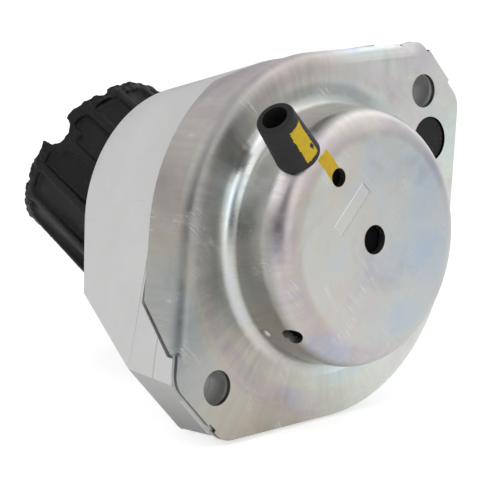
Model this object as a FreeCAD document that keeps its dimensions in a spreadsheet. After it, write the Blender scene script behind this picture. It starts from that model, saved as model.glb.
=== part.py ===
import FreeCAD, Part
import math
import os
import Sketcher

# Hydraulic engine mount with a vacuum switched chamber.
# The origin is the centre of the two bolt holes, on the seat face of the flange.
# +Z runs up to the engine, +X through the bolt holes. The steel pot hangs below the seat face.

doc = FreeCAD.newDocument("engine_mount")
sheet = doc.addObject("Spreadsheet::Sheet", "sizes")

DRIVING = [
    # flange and its two ears
    ("bolt_half_pitch", 63.0),
    ("bolt_hole_r", 5.5),
    ("steel", 2.5),
    ("flange_r", 58.8),
    ("ear_end", 73.2),
    ("ear_far_half", 14.1),
    ("ear_near_half", 13.0),
    ("ear_corner_r", 8.0),
    ("shear_tab_reach", 1.0),
    ("shear_tab_near", 7.8),
    ("shear_tab_far", 6.3),
    ("shear_nick_depth", 0.8),
    ("shear_nick_from", 5.8),
    ("shear_nick_to", 9.1),
    # bent skirt on one side of the flange
    ("skirt_r", 57.5),
    ("skirt_depth", 17.5),
    ("skirt_bend_r", 5.5),
    ("skirt_low_end_x", -66.0),
    ("skirt_full_from_x", -55.0),
    ("skirt_full_to_x", 11.0),
    ("skirt_high_end_x", 28.0),
    ("skirt_end_depth", 4.0),
    ("rolled_rim_depth", 3.0),
    # dome of the pot
    ("dome_r", 40.5),
    ("dome_depth", 22.0),
    ("dome_shoulder_r", 8.5),
    ("dome_foot_r", 4.5),
    ("centre_hole_r", 4.6),
    ("vent_hole_r", 2.9),
    ("vent_x", 2.5),
    ("vent_y", -25.5),
    ("drain_hole_r", 3.2),
    ("drain_depth", 15.5),
    ("dimple_r", 2.4),
    ("dimple_depth", 4.0),
    ("dimple_height", 0.9),
    ("window_r", 7.5),
    ("window_out", 7.2),
    ("window_y", 13.8),
    # vacuum nipple and its rubber sleeve
    ("nipple_depth", 17.5),
    ("nipple_lean", 9.0),
    ("nipple_turn", 2.4),
    ("nipple_r", 2.8),
    ("nipple_bore_r", 1.6),
    ("nipple_length", 17.5),
    ("nipple_inner_r", 30.0),
    ("sleeve_r", 6.2),
    ("sleeve_length", 18.4),
    ("sleeve_tuck", 2.2),
    ("sleeve_mouth_r", 4.1),
    ("sleeve_edge", 0.8),
    # cast housing
    ("fit_gap", 0.3),
    ("ear_top", 19.0),
    ("housing_top", 67.0),
    ("housing_foot_r", 54.6),
    ("housing_rim_r", 44.4),
    ("housing_ear_half", 12.9),
    ("web_half_left", 17.5),
    ("web_half_right", 11.5),
    ("lug_gap", 0.8),
    ("lug_inset", 0.4),
    ("lug_back", 5.0),
    ("rim_flat_x", 47.6),
    ("rim_flat_half", 15.5),
    ("rim_chamfer", 1.2),
    ("spot_face_r", 13.0),
    ("mouth_r", 38.5),
    ("shoulder_z", 46.0),
    ("stack_r", 44.0),
    ("clamp_step", 3.0),
    ("clamp_top", 10.5),
    ("bore_gap", 0.1),
    ("bolt_chamfer", 0.6),
    ("plug_depth", 11.0),
    ("plug_gap", 0.2),
    ("plug_set_back", 0.6),
    # vacuum cup and diaphragm
    ("cup_wall", 3.0),
    ("cup_lip", 2.0),
    ("cup_floor_gap", 0.4),
    ("coil_r", 8.0),
    ("coil_wire_r", 0.8),
    ("coil_turns", 5.0),
    ("diaphragm", 1.6),
    ("bead", 4.0),
    ("valve_pad_r", 13.0),
    ("disc_r", 10.0),
    ("disc_thickness", 1.5),
    # channel plates, decoupler and seal
    ("lower_plate_top", 15.5),
    ("upper_plate_top", 21.5),
    ("channel_in_r", 30.0),
    ("channel_out_r", 38.0),
    ("channel_depth", 5.0),
    ("decoupler_r", 22.0),
    ("decoupler_thickness", 3.0),
    ("decoupler_play", 0.4),
    ("plate_window_r", 3.2),
    ("plate_window_pitch_r", 13.5),
    ("plate_windows", 8.0),
    ("valve_seat_r", 8.0),
    ("seal_section_r", 1.0),
    # main spring and core
    ("ring_wall", 2.2),
    ("ring_lip", 3.5),
    ("core_foot_z", 40.0),
    ("core_foot_r", 12.5),
    ("core_neck_z", 68.0),
    ("core_neck_r", 18.0),
    ("spring_foot_r", 33.0),
    ("spring_crown_r", 27.0),
    ("spring_crown_z", 57.0),
    # inclined engine side with its stop buffer
    ("cross_z", 82.5),
    ("lean", 36.0),
    ("turn", -62.0),
    ("buffer_r", 31.4),
    ("buffer_flare", 1.6),
    ("buffer_reach", 35.0),
    ("buffer_length", 44.0),
    ("buffer_edge_r", 2.0),
    ("panel_depth", 1.6),
    ("panel_top", 5.0),
    ("panels", 15.0),
    ("rib_width", 3.0),
    ("notch_spin", -109.0),
    ("notch_half", 5.2),
    ("notch_depth", 8.0),
    ("notch_inner_r", 20.0),
    ("nicks", 9.0),
    ("nick_half", 2.0),
    ("nick_depth", 2.2),
    ("nick_floor_r", 28.0),
    ("buffer_clear_z", 70.0),
    ("washer_out_r", 24.5),
    ("washer_thickness", 3.0),
    ("washer_sink", 6.0),
    ("seat_sink", 2.5),
    ("stud_hole_r", 5.1),
    ("stud_hole_depth", 26.0),
    ("stud_chamfer", 1.0),
    ("pin_r", 3.0),
    ("pin_shank_r", 3.5),
    ("pin_offset", -12.0),
    ("pin_rise", 5.0),
    ("pin_depth", 8.0),
]

for row, (alias, number) in enumerate(DRIVING, start=1):
    sheet.set(f"A{row}", alias)
    sheet.set(f"B{row}", str(number))
    sheet.setAlias(f"B{row}", alias)
doc.recompute()


class Size:
    # A length that carries both its number and the sheet expression it comes from.
    def __init__(self, number, text):
        self.number = number
        self.text = text

    def __add__(self, other):
        other = as_size(other)
        return Size(self.number + other.number, f"({self.text} + {other.text})")

    def __radd__(self, other):
        return as_size(other) + self

    def __sub__(self, other):
        other = as_size(other)
        return Size(self.number - other.number, f"({self.text} - {other.text})")

    def __rsub__(self, other):
        return as_size(other) - self

    def __mul__(self, other):
        other = as_size(other)
        return Size(self.number * other.number, f"({self.text} * {other.text})")

    def __rmul__(self, other):
        return as_size(other) * self

    def __truediv__(self, other):
        other = as_size(other)
        return Size(self.number / other.number, f"({self.text} / {other.text})")

    def __rtruediv__(self, other):
        return as_size(other) / self

    def __neg__(self):
        return Size(-self.number, f"(0 - {self.text})")


def as_size(value):
    if isinstance(value, Size):
        return value
    return Size(float(value), repr(float(value)))


def root(value):
    return Size(math.sqrt(value.number), f"sqrt({value.text})")


def tangent_of(angle):
    return Size(math.tan(math.radians(angle.number)), f"tan({angle.text})")


def cosine_of(angle):
    return Size(math.cos(math.radians(angle.number)), f"cos({angle.text})")


def sine_of(angle):
    return Size(math.sin(math.radians(angle.number)), f"sin({angle.text})")


class Sheet:
    # sizes.name gives the Size of one cell.
    def __getattr__(self, alias):
        return Size(float(sheet.get(alias)), f"sizes.{alias}")


S = Sheet()
ZERO = as_size(0)


def bind(thing, prop, size):
    size = as_size(size)
    thing.setExpression(prop, size.text)


def new_body(name):
    body = doc.addObject("PartDesign::Body", name)
    body.Label = name
    return body


def new_sketch(body, name, plane="XY_Plane", height=ZERO):
    sketch = body.newObject("Sketcher::SketchObject", name)
    origin_plane = [item for item in body.Origin.OriginFeatures if item.Role == plane][0]
    sketch.AttachmentSupport = [(origin_plane, "")]
    sketch.MapMode = "FlatFace"
    bind(sketch, "AttachmentOffset.Base.z", height)
    return sketch


def pin_point(sketch, geometry, end, x, y):
    for kind, size in (("DistanceX", as_size(x)), ("DistanceY", as_size(y))):
        index = sketch.addConstraint(Sketcher.Constraint(kind, -1, 1, geometry, end, size.number))
        sketch.setExpression(f"Constraints[{index}]", size.text)


def vector(x, y):
    return FreeCAD.Vector(as_size(x).number, as_size(y).number, 0)


def polygon(sketch, corners):
    # Closed outline of straight edges through corners given as pairs of sizes.
    first = sketch.GeometryCount
    count = len(corners)
    for index, corner in enumerate(corners):
        following = corners[(index + 1) % count]
        sketch.addGeometry(Part.LineSegment(vector(*corner), vector(*following)), False)
    for index, corner in enumerate(corners):
        edge = first + index
        following = first + (index + 1) % count
        sketch.addConstraint(Sketcher.Constraint("Coincident", edge, 2, following, 1))
        pin_point(sketch, edge, 1, *corner)


def circle(sketch, x, y, radius):
    radius = as_size(radius)
    index = sketch.addGeometry(Part.Circle(vector(x, y), FreeCAD.Vector(0, 0, 1), radius.number), False)
    row = sketch.addConstraint(Sketcher.Constraint("Radius", index, radius.number))
    sketch.setExpression(f"Constraints[{row}]", radius.text)
    pin_point(sketch, index, 3, x, y)


def eared_outline(sketch, near_r, far_r, end_x, near_half, far_half, near_left=None):
    # Two arcs about the axis joined by tangent lines to two square ears.
    # The near side is towards -Y and the far side towards +Y.
    # The ear at -X can have a near half width of its own.
    first = sketch.GeometryCount
    near_left = near_half if near_left is None else near_left

    def touch(radius, corner_x, corner_y):
        # Point where the tangent from the corner meets the circle, for a corner at +X.
        square = corner_x * corner_x + corner_y * corner_y
        along = radius * radius / square
        across = radius * root(square - radius * radius) / square
        return along * corner_x - across * corner_y, along * corner_y + across * corner_x

    far_x, far_y = touch(far_r, end_x, far_half)
    near_x, near_y = touch(near_r, end_x, near_half)
    left_x, left_y = touch(near_r, end_x, near_left)
    far_top = FreeCAD.Vector(0, as_size(far_r).number, 0)
    near_low = FreeCAD.Vector(0, -as_size(near_r).number, 0)
    lines = [
        (vector(end_x, -near_half), vector(end_x, far_half)),
        (vector(end_x, far_half), vector(far_x, far_y)),
        (vector(-far_x, far_y), vector(-end_x, far_half)),
        (vector(-end_x, far_half), vector(-end_x, -near_left)),
        (vector(-end_x, -near_left), vector(-left_x, -left_y)),
        (vector(near_x, -near_y), vector(end_x, -near_half)),
    ]
    for start, end in lines:
        sketch.addGeometry(Part.LineSegment(start, end), False)
    sketch.addGeometry(Part.Arc(vector(far_x, far_y), far_top, vector(-far_x, far_y)), False)
    sketch.addGeometry(Part.Arc(vector(-left_x, -left_y), near_low, vector(near_x, -near_y)), False)
    far_arc = first + 6
    near_arc = first + 7
    for arc, radius in ((far_arc, far_r), (near_arc, near_r)):
        row = sketch.addConstraint(Sketcher.Constraint("Radius", arc, as_size(radius).number))
        sketch.setExpression(f"Constraints[{row}]", as_size(radius).text)
        sketch.addConstraint(Sketcher.Constraint("Coincident", arc, 3, -1, 1))
    for line, line_end, arc, arc_end in (
        (first + 1, 2, far_arc, 1), (first + 2, 1, far_arc, 2),
        (first + 4, 2, near_arc, 1), (first + 5, 1, near_arc, 2),
    ):
        sketch.addConstraint(Sketcher.Constraint("Tangent", line, line_end, arc, arc_end))
    for line, following in ((0, 1), (2, 3), (3, 4), (5, 0)):
        sketch.addConstraint(Sketcher.Constraint("Coincident", first + line, 2, first + following, 1))
    pin_point(sketch, first, 1, end_x, -near_half)
    pin_point(sketch, first, 2, end_x, far_half)
    pin_point(sketch, first + 3, 1, -end_x, far_half)
    pin_point(sketch, first + 3, 2, -end_x, -near_left)


def parallel_half(radius, end_x, half, inner_r, inner_x):
    # Half width of an ear whose tangent line runs parallel to the line of a larger outline.
    square = end_x * end_x + half * half
    across = root(square - radius * radius)
    normal_x = (radius * end_x - across * half) / square
    normal_y = (radius * half + across * end_x) / square
    return (inner_r - inner_x * normal_x) / normal_y


def pad(body, name, sketch, length):
    feature = body.newObject("PartDesign::Pad", name)
    feature.Profile = sketch
    bind(feature, "Length", length)
    doc.recompute()
    return feature


def cut_away(body, name, sketch, length, upwards=True):
    # Pocket that has to take material away.
    before = body.Shape.Volume
    feature = body.newObject("PartDesign::Pocket", name)
    feature.Profile = sketch
    feature.Reversed = upwards
    bind(feature, "Length", length)
    doc.recompute()
    if body.Shape.Volume >= before - 0.001:
        raise RuntimeError(f"{name} cuts nothing")
    return feature


def loft(body, name, low, high):
    feature = body.newObject("PartDesign::AdditiveLoft", name)
    feature.Profile = low
    feature.Sections = [high]
    feature.Ruled = True
    doc.recompute()
    return feature


def turned(body, name, corners):
    # Solid of revolution about Z from corners given as radius and height.
    sketch = new_sketch(body, f"{name}_profile", "XZ_Plane")
    polygon(sketch, corners)
    feature = body.newObject("PartDesign::Revolution", name)
    feature.Profile = sketch
    feature.ReferenceAxis = (sketch, ["V_Axis"])
    feature.Angle = 360
    doc.recompute()
    return feature


def turned_away(body, name, corners):
    before = body.Shape.Volume
    sketch = new_sketch(body, f"{name}_profile", "XZ_Plane")
    polygon(sketch, corners)
    feature = body.newObject("PartDesign::Groove", name)
    feature.Profile = sketch
    feature.ReferenceAxis = (sketch, ["V_Axis"])
    feature.Angle = 360
    doc.recompute()
    if body.Shape.Volume >= before - 0.001:
        raise RuntimeError(f"{name} cuts nothing")
    return feature


def ring_of_cuts(body, name, sketch, cut, count):
    ring = body.newObject("PartDesign::PolarPattern", name)
    ring.Originals = [cut]
    ring.Axis = (sketch, ["N_Axis"])
    ring.Angle = 360
    bind(ring, "Occurrences", count)
    body.Tip = ring
    doc.recompute()
    return ring


def edges_where(feature, wanted):
    names = []
    for index, edge in enumerate(feature.Shape.Edges, start=1):
        if wanted(edge):
            names.append(f"Edge{index}")
    if not names:
        raise RuntimeError(f"no such edges on {feature.Name}")
    return names


def rounded(body, name, base, radius, wanted, kind="PartDesign::Fillet"):
    feature = body.newObject(kind, name)
    feature.Base = (base, edges_where(base, wanted))
    bind(feature, "Radius" if kind.endswith("Fillet") else "Size", radius)
    doc.recompute()
    return feature


def near(value, size, slack=0.02):
    return abs(value - as_size(size).number) < slack


def ring_edge(radius, height):
    # Picks the full circle of one radius at one height.
    def wanted(edge):
        curve = edge.Curve
        if not isinstance(curve, Part.Circle) or not near(curve.Radius, radius):
            return False
        return near(curve.Center.z, height) and math.hypot(curve.Center.x, curve.Center.y) < 0.01
    return wanted


def ear_edges(x, near_half, far_half):
    # Picks the upright lines at the four corners of the ears.
    def wanted(edge):
        box = edge.BoundBox
        upright = box.ZLength > 0.5 and box.XLength < 0.01 and box.YLength < 0.01
        side = near(box.Center.y, far_half) or near(box.Center.y, -near_half)
        return upright and near(abs(box.Center.x), x) and side
    return wanted


def flat_edge(height):
    # Picks every edge that lies at one height.
    def wanted(edge):
        box = edge.BoundBox
        return box.ZLength < 0.01 and near(box.Center.z, height)
    return wanted


def boolean(kind, name, base, tool):
    feature = doc.addObject(kind, name)
    feature.Label = name
    feature.Base = base
    feature.Tool = tool
    feature.Refine = True
    doc.recompute()
    return feature


def common(name, base, tool):
    return boolean("Part::Common", name, base, tool)


def subtract(name, base, tool):
    return boolean("Part::Cut", name, base, tool)


def join(name, base, tool):
    return boolean("Part::Fuse", name, base, tool)


def cylinder(name, radius, length):
    solid = doc.addObject("Part::Cylinder", name)
    bind(solid, "Radius", radius)
    bind(solid, "Height", length)
    return solid


X_AXIS = "vector(1; 0; 0)"
Y_AXIS = "vector(0; 1; 0)"
Z_AXIS = "vector(0; 0; 1)"


def about(axis, angle):
    return f"rotation({axis}; {as_size(angle).text})"


def place(thing, x, y, z, rotation=about(Z_AXIS, ZERO)):
    x, y, z = as_size(x), as_size(y), as_size(z)
    spot = f"vector({x.text}; {y.text}; {z.text})"
    thing.setExpression("Placement", f"placement({spot}; {rotation})")
    doc.recompute()
    return thing


LEAN_AXIS = "vector(0 - sin(sizes.turn); cos(sizes.turn); 0)"


def place_on_lean(thing, along, aside=ZERO, spin=ZERO):
    # Puts a solid modelled about +Z onto the inclined axis, a distance along it from the crossing,
    # a distance aside from it within the plane of the lean and spun about itself.
    across = sine_of(S.lean) * along + cosine_of(S.lean) * aside
    rise = cosine_of(S.lean) * along - sine_of(S.lean) * aside
    x = across * cosine_of(S.turn)
    y = across * sine_of(S.turn)
    rotation = f"{about(LEAN_AXIS, S.lean)} * {about(Z_AXIS, spin)}"
    return place(thing, x, y, S.cross_z + rise, rotation)


def place_on_nipple(thing, out):
    # Puts a solid modelled about +Z onto the nipple's axis, a distance out from the pot's wall.
    # The axis runs out from the pot towards -Y, turned a little to -X, and dips by its lean.
    reach = S.dome_r + out * cosine_of(S.nipple_lean)
    x = -(reach * sine_of(S.nipple_turn))
    y = -(reach * cosine_of(S.nipple_turn))
    z = -(S.nipple_depth + out * sine_of(S.nipple_lean))
    rotation = f"{about(Z_AXIS, -S.nipple_turn)} * {about(X_AXIS, 90 + S.nipple_lean)}"
    return place(thing, x, y, z, rotation)


def nipple_inside():
    # Length of the nipple within the pot's outer wall.
    return (S.dome_r - S.nipple_inner_r) / cosine_of(S.nipple_lean)


def lower_pot():
    # Pressed steel: a flange with two ears, a bent skirt on one side and a deep dome.
    pan = new_body("pan")
    outline = new_sketch(pan, "pan_outline")
    eared_outline(outline, S.skirt_r, S.skirt_r, S.ear_end, S.ear_near_half, S.ear_near_half)
    block = pad(pan, "pan_block", outline, S.skirt_depth)
    corners = rounded(pan, "pan_corners", block, S.ear_corner_r,
                      ear_edges(S.ear_end, S.ear_near_half, S.ear_near_half))
    bend = rounded(pan, "pan_bend", corners, S.skirt_bend_r, flat_edge(ZERO))
    inside = new_sketch(pan, "pan_inside", height=S.steel)
    inner_r = S.skirt_r - S.steel
    inner_x = S.ear_end - S.steel
    inner_half = parallel_half(S.skirt_r, S.ear_end, S.ear_near_half, inner_r, inner_x)
    eared_outline(inside, inner_r, inner_r, inner_x, inner_half, inner_half)
    hollow = cut_away(pan, "pan_hollow", inside, S.skirt_depth)
    floor_edges = flat_edge(S.steel)
    rounded(pan, "pan_inner_bend", hollow, S.skirt_bend_r - S.steel, floor_edges)

    zone = new_body("skirt_zone")
    side = new_sketch(zone, "skirt_side", "XZ_Plane")
    polygon(side, [
        (S.skirt_low_end_x, -S.steel),
        (S.ear_end - S.skirt_bend_r, -S.steel),
        (S.ear_end - S.skirt_bend_r, S.rolled_rim_depth),
        (S.skirt_high_end_x, S.skirt_end_depth),
        (S.skirt_full_to_x, S.skirt_depth + 0.01),
        (S.skirt_full_from_x, S.skirt_depth + 0.01),
        (S.skirt_low_end_x, S.skirt_end_depth),
    ])
    pad(zone, "skirt_reach", side, S.skirt_r + S.steel)
    skirt = common("skirt", pan, zone)

    plate = new_body("flange_plate")
    rim = new_sketch(plate, "flange_outline")
    eared_outline(rim, S.skirt_r, S.flange_r, S.ear_end, S.ear_near_half, S.ear_far_half)
    sheet_metal = pad(plate, "flange_sheet", rim, S.steel)
    rounded(plate, "flange_corners", sheet_metal, S.ear_corner_r,
            ear_edges(S.ear_end, S.ear_near_half, S.ear_far_half))
    tab = new_sketch(plate, "shear_tab")
    tab_in = S.ear_end - S.steel
    tab_out = S.ear_end + S.shear_tab_reach
    polygon(tab, [(tab_in, -S.shear_tab_near), (tab_out, -S.shear_tab_near),
                  (tab_out, S.shear_tab_far), (tab_in, S.shear_tab_far)])
    pad(plate, "shear_tab_pad", tab, S.steel)
    nick = new_sketch(plate, "shear_nick")
    nick_in = S.shear_nick_depth - S.ear_end
    nick_out = -(S.ear_end + S.steel)
    polygon(nick, [(nick_out, S.shear_nick_from), (nick_in, S.shear_nick_from),
                   (nick_in, S.shear_nick_to), (nick_out, S.shear_nick_to)])
    cut_away(plate, "shear_nick_cut", nick, S.steel)
    plain = subtract("plain_flange", plate, zone)
    flange = join("flange", plain, skirt)

    foot_r = S.dome_r + S.dome_foot_r + S.steel / 5
    cleared = subtract("flange_opened", flange, cylinder("foot_cutter", foot_r, S.skirt_depth))
    dome = new_body("dome")
    inner_wall = S.dome_r - S.steel
    shell = turned(dome, "dome_shell", [
        (foot_r, ZERO), (foot_r, S.steel), (inner_wall, S.steel),
        (inner_wall, S.steel - S.dome_depth), (ZERO, S.steel - S.dome_depth),
        (ZERO, -S.dome_depth), (S.dome_r, -S.dome_depth), (S.dome_r, ZERO),
    ])
    shoulder = rounded(dome, "dome_shoulder", shell, S.dome_shoulder_r, ring_edge(S.dome_r, -S.dome_depth))
    inner_shoulder = rounded(dome, "dome_inner_shoulder", shoulder, S.dome_shoulder_r - S.steel,
                             ring_edge(inner_wall, S.steel - S.dome_depth))
    foot = rounded(dome, "dome_foot", inner_shoulder, S.dome_foot_r, ring_edge(S.dome_r, ZERO))
    rounded(dome, "dome_inner_foot", foot, S.dome_foot_r + S.steel, ring_edge(inner_wall, S.steel))
    pressed = join("pressed_pot", cleared, dome)

    holes = new_body("pot_holes")
    drilled = new_sketch(holes, "pot_hole_circles", height=-S.dome_depth - S.steel)
    circle(drilled, ZERO, ZERO, S.centre_hole_r)
    circle(drilled, S.vent_x, S.vent_y, S.vent_hole_r)
    circle(drilled, S.bolt_half_pitch, ZERO, S.bolt_hole_r)
    circle(drilled, -S.bolt_half_pitch, ZERO, S.bolt_hole_r)
    pad(holes, "pot_hole_drills", drilled, S.dome_depth + S.steel * 3)
    window = new_body("pot_window")
    opening = new_sketch(window, "pot_window_circle", height=-S.steel)
    circle(opening, window_x(), S.window_y, S.window_r)
    pad(window, "pot_window_drill", opening, S.steel * 3)
    pierced = subtract("pierced_pot", subtract("windowed_pot", pressed, window), holes)

    drain = place(cylinder("drain_drill", S.drain_hole_r, S.dome_r),
                  ZERO, ZERO, -S.drain_depth, about(Y_AXIS, -90))
    drained = subtract("drained_pot", pierced, drain)
    passage = place_on_nipple(cylinder("nipple_drill", S.nipple_r + S.fit_gap, S.nipple_length),
                              -nipple_inside())
    bored = subtract("bored_pot", drained, passage)
    dimple = doc.addObject("Part::Sphere", "dimple")
    bind(dimple, "Radius", S.dimple_r)
    place(dimple, -(S.dome_r - S.dimple_r + S.dimple_height), ZERO, -S.dimple_depth)
    inner_ball = subtract("dimple_outside", dimple, cylinder_between("dimple_trim", S.dome_r - S.steel / 2))
    return join("lower_pot", bored, inner_ball)


def cylinder_between(name, radius):
    # Upright cylinder over the whole depth of the dome.
    solid = cylinder(name, radius, S.dome_depth)
    return place(solid, ZERO, ZERO, -S.dome_depth)


def vacuum_nipple():
    # Steel tube from the vacuum cup out through the pot's shoulder.
    body = new_body("vacuum_nipple")
    turned(body, "nipple_tube", [
        (S.nipple_bore_r, ZERO), (S.nipple_r, ZERO),
        (S.nipple_r, S.nipple_length), (S.nipple_bore_r, S.nipple_length),
    ])
    return place_on_nipple(body, -nipple_inside())


def connector_sleeve():
    # Rubber sleeve over the nipple: stepped bore, open mouth and softened edges.
    # Its foot is pushed over the pot's shoulder and follows it.
    grip = S.nipple_length - nipple_inside() + S.sleeve_tuck
    body = new_body("sleeve_moulding")
    tube = turned(body, "sleeve_tube", [
        (S.nipple_r, ZERO), (S.sleeve_r, ZERO), (S.sleeve_r, S.sleeve_length),
        (S.sleeve_mouth_r, S.sleeve_length), (S.sleeve_mouth_r, grip), (S.nipple_r, grip),
    ])
    rounded(body, "sleeve_edges", tube, S.sleeve_edge,
            lambda e: ring_edge(S.sleeve_r, S.sleeve_length)(e) or ring_edge(S.sleeve_r, ZERO)(e))
    place_on_nipple(body, -S.sleeve_tuck)
    shape = new_body("sleeve_seat")
    around_r = S.dome_r + S.fit_gap
    face_z = -(S.dome_depth + S.fit_gap)
    block = turned(shape, "sleeve_seat_turned", [
        (ZERO, ZERO), (ZERO, face_z), (around_r, face_z), (around_r, ZERO),
    ])
    rounded(shape, "sleeve_seat_shoulder", block, S.dome_shoulder_r + S.fit_gap, ring_edge(around_r, face_z))
    return subtract("connector_sleeve", body, shape)


def window_x():
    # The window lies outside what the housing clamps.
    return clamp_radius() + S.window_out


def clamp_radius():
    # What the housing clamps on the pot reaches one step past the stack above it.
    return S.stack_r + S.clamp_step


def housing():
    # Die-cast body: eared foot, tapering shell with a web to each ear, stepped bore.
    body = new_body("housing_casting")
    inside_skirt = S.skirt_r - S.steel - S.fit_gap
    ear_x = S.ear_end - S.fit_gap
    skirt_side = parallel_half(S.skirt_r, S.ear_end, S.ear_near_half, inside_skirt, ear_x)
    foot = new_sketch(body, "housing_foot", height=S.steel)
    eared_outline(foot, inside_skirt, S.flange_r - S.steel, ear_x, skirt_side, S.housing_ear_half)
    base = pad(body, "housing_base", foot, S.ear_top - S.steel)
    corners = rounded(body, "housing_ear_corners", base, S.ear_corner_r / 2,
                      ear_edges(ear_x, skirt_side, S.housing_ear_half))

    def on_skirt_side(edge):
        return edge.BoundBox.Center.y < -skirt_side.number

    rounded(body, "housing_skirt_edge", corners, S.skirt_bend_r - S.steel,
            lambda e: flat_edge(S.steel)(e) and on_skirt_side(e), "PartDesign::Chamfer")

    # The ear at -X has a lug outside the skirt's end, from the flange's outline up to the web's.
    foot_lug = new_sketch(body, "lug_foot", height=S.steel)
    lug_outline(foot_lug, S.skirt_r, S.ear_near_half)
    top_lug = new_sketch(body, "lug_top", height=S.ear_top)
    lug_outline(top_lug, S.housing_foot_r, S.web_half_left)
    loft(body, "housing_lug", foot_lug, top_lug)

    low = new_sketch(body, "shell_foot", height=S.ear_top)
    eared_outline(low, S.housing_foot_r, S.housing_foot_r, ear_x,
                  S.web_half_right, S.housing_ear_half, S.web_half_left)
    high = new_sketch(body, "shell_rim", height=S.housing_top - S.rim_chamfer)
    eared_outline(high, S.housing_rim_r, S.housing_rim_r, S.rim_flat_x, S.rim_flat_half, S.rim_flat_half)
    loft(body, "housing_shell", low, high)
    top_r = S.housing_rim_r - S.rim_chamfer
    top_x = S.rim_flat_x - S.rim_chamfer
    top_half = S.rim_flat_half - S.rim_chamfer / 2
    top = new_sketch(body, "shell_top", height=S.housing_top)
    eared_outline(top, top_r, top_r, top_x, top_half, top_half)
    loft(body, "housing_rim_edge", high, top)

    clamp = clamp_radius() + S.bore_gap
    bore = S.stack_r + S.bore_gap
    below = S.steel - 1
    turned_away(body, "housing_bore", [
        (ZERO, below), (clamp, below), (clamp, S.clamp_top), (bore, S.clamp_top),
        (bore, S.shoulder_z), (S.mouth_r, S.shoulder_z), (S.mouth_r, S.housing_top + 1),
        (ZERO, S.housing_top + 1),
    ])
    bolts = new_sketch(body, "housing_bolt_circles", height=S.steel)
    seats = new_sketch(body, "housing_spot_circles", height=S.ear_top)
    for side_sign in (1, -1):
        circle(bolts, side_sign * S.bolt_half_pitch, ZERO, S.bolt_hole_r)
        inner_x = side_sign * S.bolt_half_pitch
        outer_x = side_sign * (S.ear_end + S.spot_face_r)
        slot(seats, inner_x, outer_x, S.spot_face_r)
    cut_away(body, "housing_spot_faces", seats, S.housing_top)
    drilled = cut_away(body, "housing_bolt_holes", bolts, S.housing_top)
    rounded(body, "housing_bolt_edges", drilled, S.bolt_chamfer,
            lambda e: isinstance(e.Curve, Part.Circle) and near(e.Curve.Radius, S.bolt_hole_r)
            and near(e.Curve.Center.z, S.steel), "PartDesign::Chamfer")
    recess = new_sketch(body, "housing_plug_circle", height=S.steel)
    circle(recess, window_x(), S.window_y, S.window_r - S.plug_gap)
    cut_away(body, "housing_plug_recess", recess, S.plug_depth)
    body.Label = "housing"
    return body


def lug_outline(sketch, radius, half):
    # Four corners of the lug: two on the ear's end and two beside the skirt's end, where the
    # straight side of an outline with this radius and this ear half width passes.
    square = S.ear_end * S.ear_end + half * half
    across = root(square - radius * radius)
    normal_x = (radius * S.ear_end - across * half) / square
    normal_y = (radius * half + across * S.ear_end) / square
    end_x = S.ear_end - S.fit_gap
    side_x = -S.skirt_low_end_x + S.lug_gap
    inset = S.lug_inset

    def edge_y(x):
        return (radius - x * normal_x) / normal_y - inset

    polygon(sketch, [
        (-end_x, -S.lug_back), (-end_x, -edge_y(end_x)),
        (-side_x, -edge_y(side_x)), (-side_x, -S.lug_back),
    ])


def slot(sketch, inner_x, outer_x, half):
    # Outline of a slot that is round at its inner end and square past the casting.
    first = sketch.GeometryCount
    turn_sign = 1 if as_size(outer_x).number > as_size(inner_x).number else -1
    inner_low = vector(inner_x, -half)
    inner_high = vector(inner_x, half)
    apex = FreeCAD.Vector(as_size(inner_x).number - turn_sign * half.number, 0, 0)
    sketch.addGeometry(Part.LineSegment(inner_low, vector(outer_x, -half)), False)
    sketch.addGeometry(Part.LineSegment(vector(outer_x, -half), vector(outer_x, half)), False)
    sketch.addGeometry(Part.LineSegment(vector(outer_x, half), inner_high), False)
    sketch.addGeometry(Part.Arc(inner_high, apex, inner_low), False)
    arc_low, arc_high = (2, 1) if turn_sign > 0 else (1, 2)
    sketch.addConstraint(Sketcher.Constraint("Coincident", first, 2, first + 1, 1))
    sketch.addConstraint(Sketcher.Constraint("Coincident", first + 1, 2, first + 2, 1))
    sketch.addConstraint(Sketcher.Constraint("Tangent", first + 2, 2, first + 3, arc_high))
    sketch.addConstraint(Sketcher.Constraint("Tangent", first, 1, first + 3, arc_low))
    pin_point(sketch, first + 3, 3, inner_x, ZERO)
    pin_point(sketch, first + 1, 1, outer_x, -half)
    index = sketch.addConstraint(Sketcher.Constraint("DistanceX", -1, 1, first + 1, 2, as_size(outer_x).number))
    sketch.setExpression(f"Constraints[{index}]", as_size(outer_x).text)


def window_plug():
    # Rubber plug in the ear's blind hole, nearly flush with the round window of the flange.
    body = new_body("window_plug")
    face = new_sketch(body, "plug_circle", height=S.plug_set_back)
    circle(face, window_x(), S.window_y, S.window_r - S.plug_gap)
    pad(body, "plug_solid", face, S.steel + S.plug_depth - S.plug_set_back)
    return body


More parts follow.
